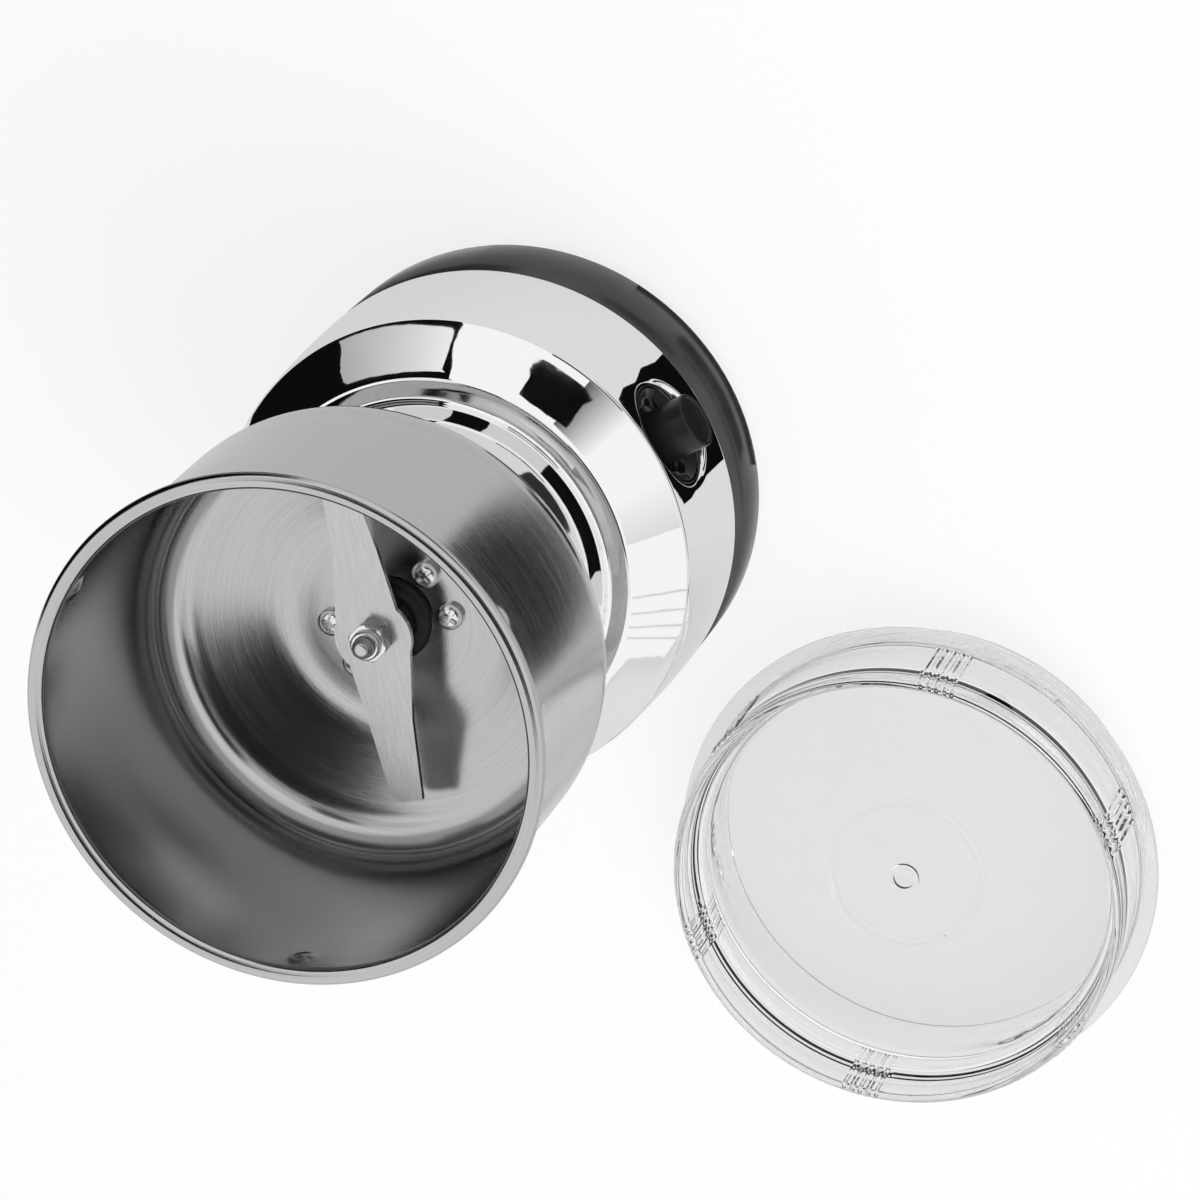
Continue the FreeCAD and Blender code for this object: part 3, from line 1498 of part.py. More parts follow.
repeat(lid, [rib_helix], "lock_ribs")
place(lid, "lid_across", "lid_along")
bind(lid, "Placement.Rotation.Angle", "lid_turn")
finish(lid, "lid")

doc.recompute()

broken = [
    thing.Label for thing in doc.Objects if "Invalid" in thing.State or "Error" in thing.State
]
if broken:
    raise RuntimeError(f"failed objects: {broken}")
for thing in finished:
    if thing.Shape.isNull() or not thing.Shape.isValid() or not thing.Shape.Solids:
        raise RuntimeError(f"{thing.Label} has no valid solid")

os.makedirs("parts", exist_ok=True)
for thing in finished:
    thing.Shape.exportStep(f"parts/{thing.Label}.step")
    solids = len(thing.Shape.Solids)
    limits = thing.Shape.BoundBox
    print(
        f"{thing.Label:22s} solids {solids} volume {thing.Shape.Volume:10.1f} "
        f"x {limits.XMin:.2f} {limits.XMax:.2f} y {limits.YMin:.2f} {limits.YMax:.2f} "
        f"z {limits.ZMin:.2f} {limits.ZMax:.2f}"
    )
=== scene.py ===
import json
import math

import bmesh
import bpy
import numpy as np
from mathutils import Matrix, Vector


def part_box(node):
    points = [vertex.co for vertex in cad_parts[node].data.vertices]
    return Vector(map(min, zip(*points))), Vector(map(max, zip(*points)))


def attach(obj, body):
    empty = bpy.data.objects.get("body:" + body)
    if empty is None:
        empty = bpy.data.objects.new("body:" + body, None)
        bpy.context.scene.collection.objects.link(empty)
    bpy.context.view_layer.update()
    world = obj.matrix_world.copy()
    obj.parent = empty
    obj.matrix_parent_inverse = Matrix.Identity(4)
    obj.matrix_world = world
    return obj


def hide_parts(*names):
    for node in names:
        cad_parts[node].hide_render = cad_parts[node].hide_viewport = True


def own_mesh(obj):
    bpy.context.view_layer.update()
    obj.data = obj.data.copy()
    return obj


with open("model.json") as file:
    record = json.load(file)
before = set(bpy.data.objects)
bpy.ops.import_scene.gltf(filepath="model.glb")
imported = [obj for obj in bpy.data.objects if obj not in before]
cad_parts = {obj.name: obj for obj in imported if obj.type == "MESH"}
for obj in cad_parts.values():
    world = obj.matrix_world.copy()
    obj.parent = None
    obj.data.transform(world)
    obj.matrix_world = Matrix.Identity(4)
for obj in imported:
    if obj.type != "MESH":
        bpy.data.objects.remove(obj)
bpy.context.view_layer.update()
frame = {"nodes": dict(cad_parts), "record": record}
nodes = frame["nodes"]
body_of_node = {node: body for body, held in frame["record"]["behaviour"]["bodies"].items() for node in held}
mm = 0.001

# Motor and its mountings
# Cast aluminium brackets hold a stack of varnished steel laminations, wound with enamelled copper,
# between two oiled bronze bushes. They are machined, pressed or wound, and most of it is out of sight.


def group_of(name, inputs, output):
    """An empty shader node group with named number or vector inputs and one named number output."""
    made = bpy.data.node_groups.new(name, "ShaderNodeTree")
    made.interface.new_socket("Vector", in_out="INPUT", socket_type="NodeSocketVector")
    for label, start in inputs.items():
        socket = made.interface.new_socket(label, in_out="INPUT", socket_type="NodeSocketFloat")
        socket.default_value = start
    made.interface.new_socket(output, in_out="OUTPUT", socket_type="NodeSocketFloat")
    return made, made.nodes.new("NodeGroupInput"), made.nodes.new("NodeGroupOutput")


def sum_node(tree, kind, first, second=None):
    """One Math node; each side is a number or an output socket."""
    node = tree.nodes.new("ShaderNodeMath")
    node.operation = kind
    for socket, value in zip(node.inputs, (first, second)):
        if isinstance(value, (int, float)):
            socket.default_value = value
        elif value is not None:
            tree.links.new(value, socket)
    return node.outputs[0]


def spread_noise(tree, given, out, noise, least, most):
    """Stretches the noise between two of its own levels to the group's Low and High."""
    spread = tree.nodes.new("ShaderNodeMapRange")
    spread.inputs["From Min"].default_value = least
    spread.inputs["From Max"].default_value = most
    tree.links.new(noise.outputs[0], spread.inputs["Value"])
    tree.links.new(given.outputs["Low"], spread.inputs["To Min"])
    tree.links.new(given.outputs["High"], spread.inputs["To Max"])
    tree.links.new(spread.outputs[0], out.inputs["Value"])
    return tree


def make_mottle():
    """Cloudy variation: noise of a given scale, spread between a low and a high value."""
    tree, given, out = group_of("mottle", {"Scale": 100.0, "Low": 0.0, "High": 1.0}, "Value")
    noise = tree.nodes.new("ShaderNodeTexNoise")
    noise.inputs["Detail"].default_value = 4
    tree.links.new(given.outputs["Vector"], noise.inputs["Vector"])
    tree.links.new(given.outputs["Scale"], noise.inputs["Scale"])
    return spread_noise(tree, given, out, noise, 0.3, 0.7)


def make_turned_grain():
    """Brushing round the Z axis: noise of (cos angle, sin angle) times Streaks and of
    (radius - height) times Lines, so it runs round walls and floors alike, with no seam."""
    settings = {"Lines": 4000.0, "Streaks": 3.0, "Low": 0.0, "High": 1.0}
    tree, given, out = group_of("turned_grain", settings, "Value")
    parts = tree.nodes.new("ShaderNodeSeparateXYZ")
    tree.links.new(given.outputs["Vector"], parts.inputs[0])
    across, along, up = parts.outputs
    squares = [sum_node(tree, "MULTIPLY", side, side) for side in (across, along)]
    radius = sum_node(tree, "SQRT", sum_node(tree, "ADD", *squares))
    least_radius = 0.0005
    safe = sum_node(tree, "MAXIMUM", radius, least_radius)
    lines = sum_node(tree, "MULTIPLY", sum_node(tree, "SUBTRACT", radius, up), given.outputs["Lines"])
    place = tree.nodes.new("ShaderNodeCombineXYZ")
    for socket, side in zip(place.inputs, (across, along)):
        direction = sum_node(tree, "DIVIDE", side, safe)
        tree.links.new(sum_node(tree, "MULTIPLY", direction, given.outputs["Streaks"]), socket)
    tree.links.new(lines, place.inputs[2])
    noise = tree.nodes.new("ShaderNodeTexNoise")
    noise.inputs["Scale"].default_value = 1
    noise.inputs["Detail"].default_value = 5
    noise.inputs["Roughness"].default_value = 0.65
    tree.links.new(place.outputs[0], noise.inputs["Vector"])
    return spread_noise(tree, given, out, noise, 0.25, 0.75)


effects = {"mottle": make_mottle(), "turned_grain": make_turned_grain()}


class Finish:
    """A material with one Principled shader, read in Object coordinates, and short ways to add detail."""

    def __init__(self, name, colour, **constants):
        self.material = bpy.data.materials.new(name)
        self.material.use_nodes = True
        self.tree = self.material.node_tree
        self.shader = self.tree.nodes["Principled BSDF"]
        self.shader.inputs["Base Color"].default_value = (*colour, 1)
        for label, value in constants.items():
            self.shader.inputs[label.replace("_", " ")].default_value = value
        self.place = self.tree.nodes.new("ShaderNodeTexCoord").outputs["Object"]

    def effect(self, name, **values):
        """The value of one shared effect, with this material's own settings."""
        node = self.tree.nodes.new("ShaderNodeGroup")
        node.node_tree = effects[name]
        self.tree.links.new(values.pop("Vector", self.place), node.inputs["Vector"])
        for label, value in values.items():
            node.inputs[label].default_value = value
        return node.outputs["Value"]

    def stretch(self, scale, turn=0.0):
        """Object coordinates, turned about Z and then stretched."""
        node = self.tree.nodes.new("ShaderNodeMapping")
        node.vector_type = "TEXTURE"
        node.inputs["Scale"].default_value = [1 / part for part in scale]
        node.inputs["Rotation"].default_value = (0, 0, turn)
        self.tree.links.new(self.place, node.inputs["Vector"])
        return node.outputs[0]

    def drive(self, label, value):
        self.tree.links.new(value, self.shader.inputs[label])
        return self

    def tint(self, dark, light, value):
        """Base colour between two colours."""
        mix = self.tree.nodes.new("ShaderNodeMix")
        mix.data_type = "RGBA"
        self.tree.links.new(value, mix.inputs["Factor"])
        mix.inputs["A"].default_value = (*dark, 1)
        mix.inputs["B"].default_value = (*light, 1)
        return self.drive("Base Color", mix.outputs["Result"])

    def bump(self, value, depth):
        node = self.tree.nodes.new("ShaderNodeBump")
        node.inputs["Distance"].default_value = depth
        self.tree.links.new(value, node.inputs["Height"])
        return self.drive("Normal", node.outputs["Normal"])


def grey(level, warm=0.0):
    return (level * (1 + warm), level, level * (1 - warm))


def dress(piece, finish):
    piece.data.materials.clear()
    piece.data.materials.append(finish.material)
    return piece


cast = Finish("cast_aluminium", grey(0.5), Metallic=1.0, Roughness=0.5)
cast.drive("Roughness", cast.effect("mottle", Scale=900.0, Low=0.42, High=0.62))
cast.bump(cast.effect("mottle", Scale=2500.0), 0.05 * mm)
for node in ("top_bracket", "bottom_bracket"):
    dress(nodes[node], cast)

laminations = Finish("stacked_laminations", grey(0.16), Metallic=0.8, Roughness=0.45)
sheets = laminations.effect("mottle", Vector=laminations.stretch((20, 20, 2000)), Scale=1.0)
laminations.tint(grey(0.1), grey(0.24), sheets).bump(sheets, 0.1 * mm)
for node in ("stator_core", "armature_core"):
    dress(nodes[node], laminations)

copper = Finish("enamelled_wire", (0.5, 0.2, 0.08), Metallic=0.6, Roughness=0.3, Coat_Weight=0.4)
strands = copper.effect("mottle", Vector=copper.stretch((400, 400, 2500)), Scale=1.0)
copper.tint((0.35, 0.12, 0.05), (0.7, 0.3, 0.12), strands).bump(strands, 0.2 * mm)
for node in ("field_coils", "armature_windings"):
    dress(nodes[node], copper)

bronze = Finish("oiled_bronze", (0.4, 0.27, 0.13), Metallic=1.0, Roughness=0.4)
bronze.tint((0.3, 0.19, 0.09), (0.5, 0.35, 0.18), bronze.effect("mottle", Scale=1500.0))
for node in ("top_bearing", "bottom_bearing"):
    dress(nodes[node], bronze)

brass = Finish("stamped_brass", (0.7, 0.5, 0.24), Metallic=1.0, Roughness=0.3)
brass.drive("Roughness", brass.effect("turned_grain", Lines=3000.0, Low=0.22, High=0.4))
for node in ("commutator", "brush_holders", "switch_terminals"):
    dress(nodes[node], brass)

carbon = Finish("pressed_carbon", grey(0.03), Roughness=0.6)
carbon.bump(carbon.effect("mottle", Scale=6000.0), 0.05 * mm)
dress(nodes["carbon_brushes"], carbon)

nylon = Finish("natural_nylon", (0.72, 0.7, 0.62), Roughness=0.45, Subsurface_Weight=0.1)
nylon.drive("Roughness", nylon.effect("mottle", Scale=800.0, Low=0.38, High=0.52))
for node in ("cooling_fan", "thrust_washers"):
    dress(nodes[node], nylon)

zinc = Finish("zinc_plate", grey(0.55, 0.02), Metallic=1.0, Roughness=0.35)
zinc.drive("Roughness", zinc.effect("mottle", Scale=1200.0, Low=0.28, High=0.45))
for node in ("base_screws", "motor_screws", "brush_springs", "thermal_fuse"):
    dress(nodes[node], zinc)

# Wiring pieces in the base
# The terminal block, the switch and the brush caps are moulded in dark nylon, and the capacitor is a
# potted yellow box. They sit on the base floor or behind the button.
moulded = Finish("dark_moulding", grey(0.05), Roughness=0.5)
moulded.bump(moulded.effect("mottle", Scale=4000.0), 0.02 * mm)
for node in ("terminal_block", "switch_body", "switch_plunger", "brush_caps"):
    dress(nodes[node], moulded)
potted = Finish("potted_film", (0.6, 0.5, 0.12), Roughness=0.4)
potted.bump(potted.effect("mottle", Scale=1500.0), 0.05 * mm)
dress(nodes["suppressor_capacitor"], potted)

# Housing shell
# One moulding in chrome-plated plastic: a barrel-shaped side with a round lipped hole for the button,
# a flared shoulder, a narrow ledge and a straight neck. It is drawn here as grids that share edges.


def joined(name, sheets, sharp=35):
    """Joins grids of points (rows, columns, 3) into one mesh. Each sheet says whether its rows and
    its columns close into a ring. Shared edges are welded and the faces turned outwards."""
    points = []
    faces = []
    start = 0
    for grid, rows_close, columns_close in sheets:
        rows, columns = grid.shape[:2]
        index = start + np.arange(rows * columns).reshape(rows, columns)
        if rows_close:
            index = np.vstack([index, index[:1]])
        if columns_close:
            index = np.hstack([index, index[:, :1]])
        quads = np.stack([index[:-1, :-1], index[:-1, 1:], index[1:, 1:], index[1:, :-1]], axis=-1)
        points.append(grid.reshape(-1, 3))
        faces.append(quads.reshape(-1, 4))
        start += rows * columns
    mesh = bpy.data.meshes.new(name)
    mesh.from_pydata(np.concatenate(points).tolist(), [], np.concatenate(faces).tolist())
    return as_piece(name, mesh, sharp)


def as_piece(name, mesh, sharp=35):
    """Welds a mesh, turns its faces outwards, shades it smooth but for edges sharper than an angle."""
    work = bmesh.new()
    work.from_mesh(mesh)
    bmesh.ops.remove_doubles(work, verts=work.verts, dist=0.0005 * mm)
    bmesh.ops.dissolve_degenerate(work, dist=0.0005 * mm, edges=work.edges)
    bmesh.ops.recalc_face_normals(work, faces=work.faces)
    work.to_mesh(mesh)
    work.free()
    mesh.shade_smooth()
    mesh.set_sharp_from_angle(angle=math.radians(sharp))
    piece = bpy.data.objects.new(name, mesh)
    bpy.context.scene.collection.objects.link(piece)
    return piece


def stand_for(piece, node, finish):
    """The piece takes the place, body and finish of one CAD node, whose own mesh is hidden."""
    dress(piece, finish)
    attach(piece, body_of_node[node])
    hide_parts(node)
    return piece


def rounded(corners, closed=False, step=2.0, arc_step=9):
    """Walks a line of (radius, height, rounding) corners in millimetres. Each rounding is the arc
    tangent to both sides of its corner, which starts rounding * tan(turn / 2) before it."""
    spots = np.array([corner[:2] for corner in corners], float)
    count = len(spots)
    line = []
    for index, (spot, corner) in enumerate(zip(spots, corners)):
        if corner[2] == 0 or (not closed and index in (0, count - 1)):
            line.append(spot[None])
            continue
        back, ahead = spots[index - 1] - spot, spots[(index + 1) % count] - spot
        back, ahead = back / np.linalg.norm(back), ahead / np.linalg.norm(ahead)
        turning = math.pi - math.acos(np.clip(back @ ahead, -1, 1))
        reach = corner[2] * math.tan(turning / 2)
        middle = (back + ahead) / np.linalg.norm(back + ahead)
        centre = spot + middle * corner[2] / math.cos(turning / 2)
        share = np.linspace(0, 1, max(2, math.ceil(math.degrees(turning) / arc_step) + 1))[:, None]
        first, last = spot + back * reach - centre, spot + ahead * reach - centre
        arc = np.sin((1 - share) * turning) * first + np.sin(share * turning) * last
        line.append(centre + arc / math.sin(turning))
    line = np.concatenate(line)
    if closed:
        line = np.vstack([line, line[:1]])
    dense = [line[:1]]
    for first, last in zip(line[:-1], line[1:]):
        cuts = max(1, math.ceil(np.linalg.norm(last - first) / step))
        dense.append(first + (last - first) * np.linspace(0, 1, cuts + 1)[1:, None])
    dense = np.concatenate(dense)
    return dense[:-1] if closed else dense


def ring_points(radius, height, angle):
    """Places at a radius and height, angle 0 at the front (-Y) and turning towards +X."""
    places = np.broadcast_arrays(radius * np.sin(angle), -radius * np.cos(angle), height)
    return np.stack(places, axis=-1) * mm


shell_low, shell_high = (corner[2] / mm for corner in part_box("housing_shell"))
shell_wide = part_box("base_cover")[1][0] / mm + 0.05
barrel_bend = 415.0
wall = 2.2
button_high = (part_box("button_cap")[0][2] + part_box("button_cap")[1][2]) / 2 / mm
hole_wide = 11.0
lip_round = 1.3
lip_wall = 0.8
lip_back = 44.9
patch_half = 14.0
patch_low, patch_high = 24.0, 52.6
patch_rows, patch_columns, rest_columns = 30, 29, 331
bore_steps = 5
shoulder_high, shoulder_under = 53.5, 52.9
ledge_wide, ledge_edge_high, ledge_high = 40.17, 64.0, 64.2
neck_wide, neck_inner = 35.6, 33.4
flare_inner, deck_under = 37.8, 62.0


def barrel(height):
    """Radius of the barrel side: a large arc, plumb at the shell's lower edge."""
    return shell_wide - barrel_bend + np.sqrt(barrel_bend**2 - (height - shell_low) ** 2)


def make_shell():
    """The barrel has a rectangular patch of its own round the button's hole. Rings above and below
    it, and a band beside it, share the patch's edge points."""
    heights = np.linspace(patch_low, patch_high, patch_rows)
    widths = np.linspace(-patch_half, patch_half, patch_columns)
    around = np.linspace(0, 1, rest_columns)
    shoulder = barrel(shoulder_high)
    upper = rounded(
        [
            (barrel(patch_high), patch_high, 0),
            (shoulder, shoulder_high, 1.8),
            (ledge_wide, ledge_edge_high, 1.6),
            (neck_wide, ledge_high, 1.2),
            (neck_wide, shell_high - 0.3, 0.3),
            (neck_inner, shell_high - 0.7, 0.3),
            (neck_inner, deck_under, 0.5),
            (flare_inner, deck_under, 0.5),
            (shoulder - wall, shoulder_under, 0.2),
            (barrel(patch_high) - wall, patch_high, 0),
        ],
        arc_step=6,
    )
    lower = rounded(
        [
            (barrel(patch_low), patch_low, 0),
            (shell_wide, shell_low, 0.3),
            (shell_wide - wall, shell_low, 0.2),
            (barrel(patch_low) - wall, patch_low, 0),
        ]
    )

    def turned_part(section, height):
        """Full rings above or below the patch, whose angles meet the patch's edge at both skins."""
        outer, inner = barrel(height), barrel(height) - wall
        share = np.linspace(0, 1, len(section))[:, None]
        edge = np.arcsin(widths / outer) * (1 - share) + np.arcsin(widths / inner) * share
        rest = edge[:, -1:] + (2 * math.pi - 2 * edge[:, -1:]) * around
        angles = np.hstack([edge, rest[:, 1:-1]])
        return ring_points(section[:, :1], section[:, 1:], angles), False, True

    def band(skin):
        """The barrel beside the patch."""
        radius = barrel(heights)[:, None] - skin
        edge = np.arcsin(patch_half / radius)
        return ring_points(radius, heights[:, None], edge + (2 * math.pi - 2 * edge) * around), False, False

    side = np.full(patch_rows - 1, patch_half)
    end = np.ones(patch_columns - 1)
    edge_x = np.concatenate([side, widths[:0:-1], -side, widths[:-1]])
    edge_z = np.concatenate([heights[:-1], end * patch_high, heights[:0:-1], end * patch_low]) - button_high
    reach = np.hypot(edge_x, edge_z)
    way = np.stack([edge_x, edge_z]) / reach

    def skin_rows(start, share, skin):
        """Rows of the patch from a circle of one radius out to the rectangle's edge."""
        out = start + (reach - start) * share[:, None]
        x, z = way[0] * out, way[1] * out + button_high
        return np.stack([x, -np.sqrt((barrel(z) - skin) ** 2 - x**2), z], axis=-1) * mm

    turning = np.radians(np.linspace(0, 90, 9))[:, None]
    lip = hole_wide + lip_round * (1 - np.sin(turning))
    x, z = way[0] * lip, way[1] * lip + button_high
    lip_sunk = lip_round * (1 - np.cos(turning))
    lip_rows = np.stack([x, -np.sqrt(barrel(z) ** 2 - x**2) + lip_sunk, z], axis=-1) * mm
    x, z = (way * hole_wide)[:, None]
    front = lip_rows[-1:, :, 1]
    deep = front + (-lip_back * mm - front) * np.linspace(0.2, 1, bore_steps)[:, None]
    bore_x, bore_z = (np.repeat(place, bore_steps, 0) * mm for place in (x, z + button_high))
    bore_rows = np.stack([bore_x, deep, bore_z], axis=-1)
    back_x, back_z = (way * (hole_wide + lip_wall))[:, None]
    inner_skin = skin_rows(hole_wide + lip_wall, np.linspace(0, 1, 6), wall)
    back_y = np.full_like(back_x, -lip_back * mm)
    back_row = np.stack([back_x * mm, back_y, (back_z + button_high) * mm], axis=-1)
    outer_skin = skin_rows(hole_wide + lip_round, np.linspace(1, 0, 9), 0)[:-1]
    patch = np.concatenate([outer_skin, lip_rows, bore_rows, back_row, inner_skin])
    sheets = [
        turned_part(upper, patch_high),
        turned_part(lower, patch_low),
        band(0),
        band(wall),
        (patch, False, True),
    ]
    return joined("housing_shell_chrome", sheets)


chrome = Finish("chrome_plating", grey(0.9), Metallic=1.0, Roughness=0.03)
chrome.drive("Roughness", chrome.effect("mottle", Scale=60.0, Low=0.015, High=0.045))
chrome.bump(chrome.effect("mottle", Scale=45.0), 0.02 * mm)
stand_for(make_shell(), "housing_shell", chrome)

# Base cover and feet
# A tray in satin black plastic closes the housing from below. It has radial vents, four screw columns
# and four sockets, into which the rubber feet are pushed.


def copy_of(node, name, sharp=35, bevel=0.0):
    """A welded copy of a CAD piece, with smooth curved faces and, where asked, softened edges."""
    mesh = nodes[node].data.copy()
    mesh.name = name
    piece = as_piece(name, mesh, sharp)
    if bevel:
        soften = piece.modifiers.new("softened_edges", "BEVEL")
        soften.width = bevel * mm
        soften.segments = 2
        soften.limit_method = "ANGLE"
        soften.angle_limit = math.radians(40)
    return piece


satin = Finish("satin_black_plastic", grey(0.035), Roughness=0.38, Coat_Weight=0.15)
satin.drive("Roughness", satin.effect("mottle", Scale=350.0, Low=0.12, High=0.18))
satin.tint(grey(0.028), grey(0.045), satin.effect("mottle", Scale=120.0))
satin.bump(satin.effect("mottle", Scale=5000.0), 0.01 * mm)
stand_for(copy_of("base_cover", "base_cover_tray"), "base_cover", satin)

rubber = Finish("black_rubber", grey(0.03), Roughness=0.7)
rubber.tint(grey(0.022), grey(0.045), rubber.effect("mottle", Scale=500.0))
rubber.bump(rubber.effect("mottle", Scale=3000.0), 0.03 * mm)
stand_for(copy_of("feet", "rubber_feet"), "feet", rubber)
stand_for(copy_of("cord_gland", "inlet_bush"), "cord_gland", rubber)
stand_for(copy_of("cup_gasket", "cup_gasket_disc"), "cup_gasket", rubber)

# Push button and its ring
# A glossy black ring is dished towards the middle and snaps in behind the shell. The round cap stands
# proud of it and has a thin raised rim round a slightly hollow face.


def whole_turn(columns):
    return np.linspace(0, 2 * math.pi, columns, endpoint=False)


def turned(name, section, angles, closed=False, shift=None, finish_points=None, sharp=35):
    """Carries a section of (radius, height) rows round the axis: the columns are angles. shift may
    change radius and height as a function of angle, and finish_points may move every point after."""
    radius, height, angle = np.broadcast_arrays(section[:, :1], section[:, 1:], angles[None])
    if shift:
        radius, height = shift(radius, height, angle)
    points = ring_points(radius, height, angle)
    if finish_points:
        points = finish_points(points)
    return joined(name, [(points, closed, True)], sharp)


def facing_front(points):
    """Turns pieces made about Z so that their height runs out of the front, at the button's place."""
    across, along, up = np.moveaxis(points, -1, 0)
    return np.stack([across, -up, along + button_high * mm], axis=-1)


gloss = Finish("gloss_black_plastic", grey(0.006), Specular_IOR_Level=0.15)
gloss.drive("Roughness", gloss.effect("mottle", Scale=300.0, Low=0.07, High=0.14))
ring_bore, ring_wide, ring_flange = 5.76, 10.85, 13.2
ring_back, ring_dish, ring_front = 42.9, 45.8, 48.2
ring_section = rounded(
    [
        (ring_bore, ring_back, 0.1),
        (ring_flange, ring_back, 0.3),
        (ring_flange, 44.4, 0.2),
        (ring_wide, 44.6, 0.1),
        (ring_wide, ring_front, 0.35),
        (10.0, ring_front, 0.3),
        (8.6, 46.5, 2.0),
        (7.3, ring_dish, 0.8),
        (ring_bore, ring_dish, 0.25),
    ],
    closed=True,
)
stand_for(
    turned("button_ring", ring_section, whole_turn(160), closed=True, finish_points=facing_front),
    "button_bezel",
    gloss,
)
cap_face = -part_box("button_cap")[0][1] / mm
cap_tip = -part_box("button_cap")[1][1] / mm
stem_wide, cap_wide, cap_flange = 2.2, 5.66, 6.8
flange_back, flange_front = 41.3, 42.7
cap_section = rounded(
    [
        (0, cap_tip, 0),
        (stem_wide, cap_tip, 0.2),
        (stem_wide, flange_back, 0.1),
        (cap_flange, flange_back, 0.2),
        (cap_flange, flange_front, 0.2),
        (cap_wide, flange_front, 0.1),
        (cap_wide, cap_face, 0.35),
        (4.95, cap_face, 0.2),
        (4.75, cap_face - 0.35, 0.2),
        (2.5, cap_face - 0.5, 3),
        (0, cap_face - 0.52, 0),
    ],
    step=0.8,
)
cap_black = Finish("button_black_plastic", grey(0.012), Roughness=0.3, Specular_IOR_Level=0.3)
cap_black.drive("Roughness", cap_black.effect("mottle", Scale=400.0, Low=0.24, High=0.36))
cap_black.bump(cap_black.effect("mottle", Scale=6000.0), 0.008 * mm)
stand_for(
    turned("push_button", cap_section, whole_turn(128), finish_points=facing_front),
    "button_cap",
    cap_black,
)

# Return spring
# A coil of zinc plated wire behind the button, out of sight. It is held between the button and the switch.
return_spring = stand_for(copy_of("button_spring", "return_spring"), "button_spring", zinc)
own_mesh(return_spring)

# Steel cup
# Drawn from stainless sheet and brushed while it turned, so fine lines run round its wall and floor.
# The rim is rolled outwards, three dimples lock the lid, and the floor is dished towards the shaft.
cup_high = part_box("cup")[1][2] / mm
cup_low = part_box("cup")[0][2] / mm
cup_wide = 47.5
centre_hole = 6.1
corner_bend, floor_bend = 12, 25
sheet = 0.6
bead = 1.65
dimple_high = 147.0
dimple_wide = 2.8
dimple_deep = 0.75


def make_cup():
    slope = math.tan(math.radians(15))
    flat_reach = 21.2
    cone_high = (cup_wide - flat_reach) * slope
    bead_middle = cup_wide - sheet + bead
    bead_low = cup_high - 2 * bead
    section = rounded(
        [
            (centre_hole, cup_low, 0),
            (flat_reach, cup_low, floor_bend),
            (cup_wide, cup_low + cone_high, corner_bend),
            (cup_wide - 0.05, bead_low, 0.2),
            (bead_middle + bead, bead_low, bead * 0.98),
            (bead_middle + bead, cup_high, bead * 0.98),
            (cup_wide - sheet, cup_high, bead * 0.98),
            (cup_wide - sheet, cup_low + cone_high + sheet, corner_bend - sheet),
            (flat_reach - 0.1, cup_low + sheet, floor_bend),
            (centre_hole, cup_low + sheet, 0),
        ],
        closed=True,
        step=1.25,
        arc_step=6,
    )

    def dimples(radius, height, angle):
        """Three smooth dents pushed in: depth * (1 - distance^2 / width^2)^2 inside their width."""
        centre = np.round(angle / (2 * math.pi / 3)) * (2 * math.pi / 3)
        away = ((angle - centre) * radius) ** 2 + (height - dimple_high) ** 2
        dent = np.clip(1 - away / dimple_wide**2, 0, None) ** 2
        return radius - dimple_deep * dent, height

    return turned("steel_cup", section, whole_turn(402), closed=True, shift=dimples)


brushed = Finish("brushed_steel", grey(0.6), Metallic=1.0, Roughness=0.18, Anisotropic=0.5)
grain = brushed.effect("turned_grain", Lines=10000.0, Streaks=1.5)
brushed.tint(grey(0.46), grey(0.56), brushed.effect("turned_grain", Lines=5200.0, Streaks=1.2))
brushed.drive("Roughness", brushed.effect("turned_grain", Lines=7600.0, Streaks=1.5, Low=0.11, High=0.19))
brushed.bump(grain, 0.004 * mm)
tangent = brushed.tree.nodes.new("ShaderNodeTangent")
tangent.direction_type = "RADIAL"
tangent.axis = "Z"
brushed.drive("Tangent", tangent.outputs[0])
stand_for(make_cup(), "cup", brushed)

# Screws in the cup floor
# Four M3 pan head screws with cross recesses, bright plated, clamp the cup to the motor.
plated = Finish("bright_plate", grey(0.85), Metallic=1.0, Roughness=0.14)
plated.drive("Roughness", plated.effect("mottle", Scale=900.0, Low=0.14, High=0.22))
screw_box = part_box("cup_screws")
head_wide = 2.7
head_high = 1.7
shank_wide = 1.45
cross_half, cross_reach, cross_deep = 0.5, 1.85, 0.95
screw_seat = screw_box[1][2] / mm - head_high
screw_tip = screw_box[0][2] / mm
screw_across = screw_box[1][0] / mm - head_wide
screw_along = screw_box[1][1] / mm - head_wide


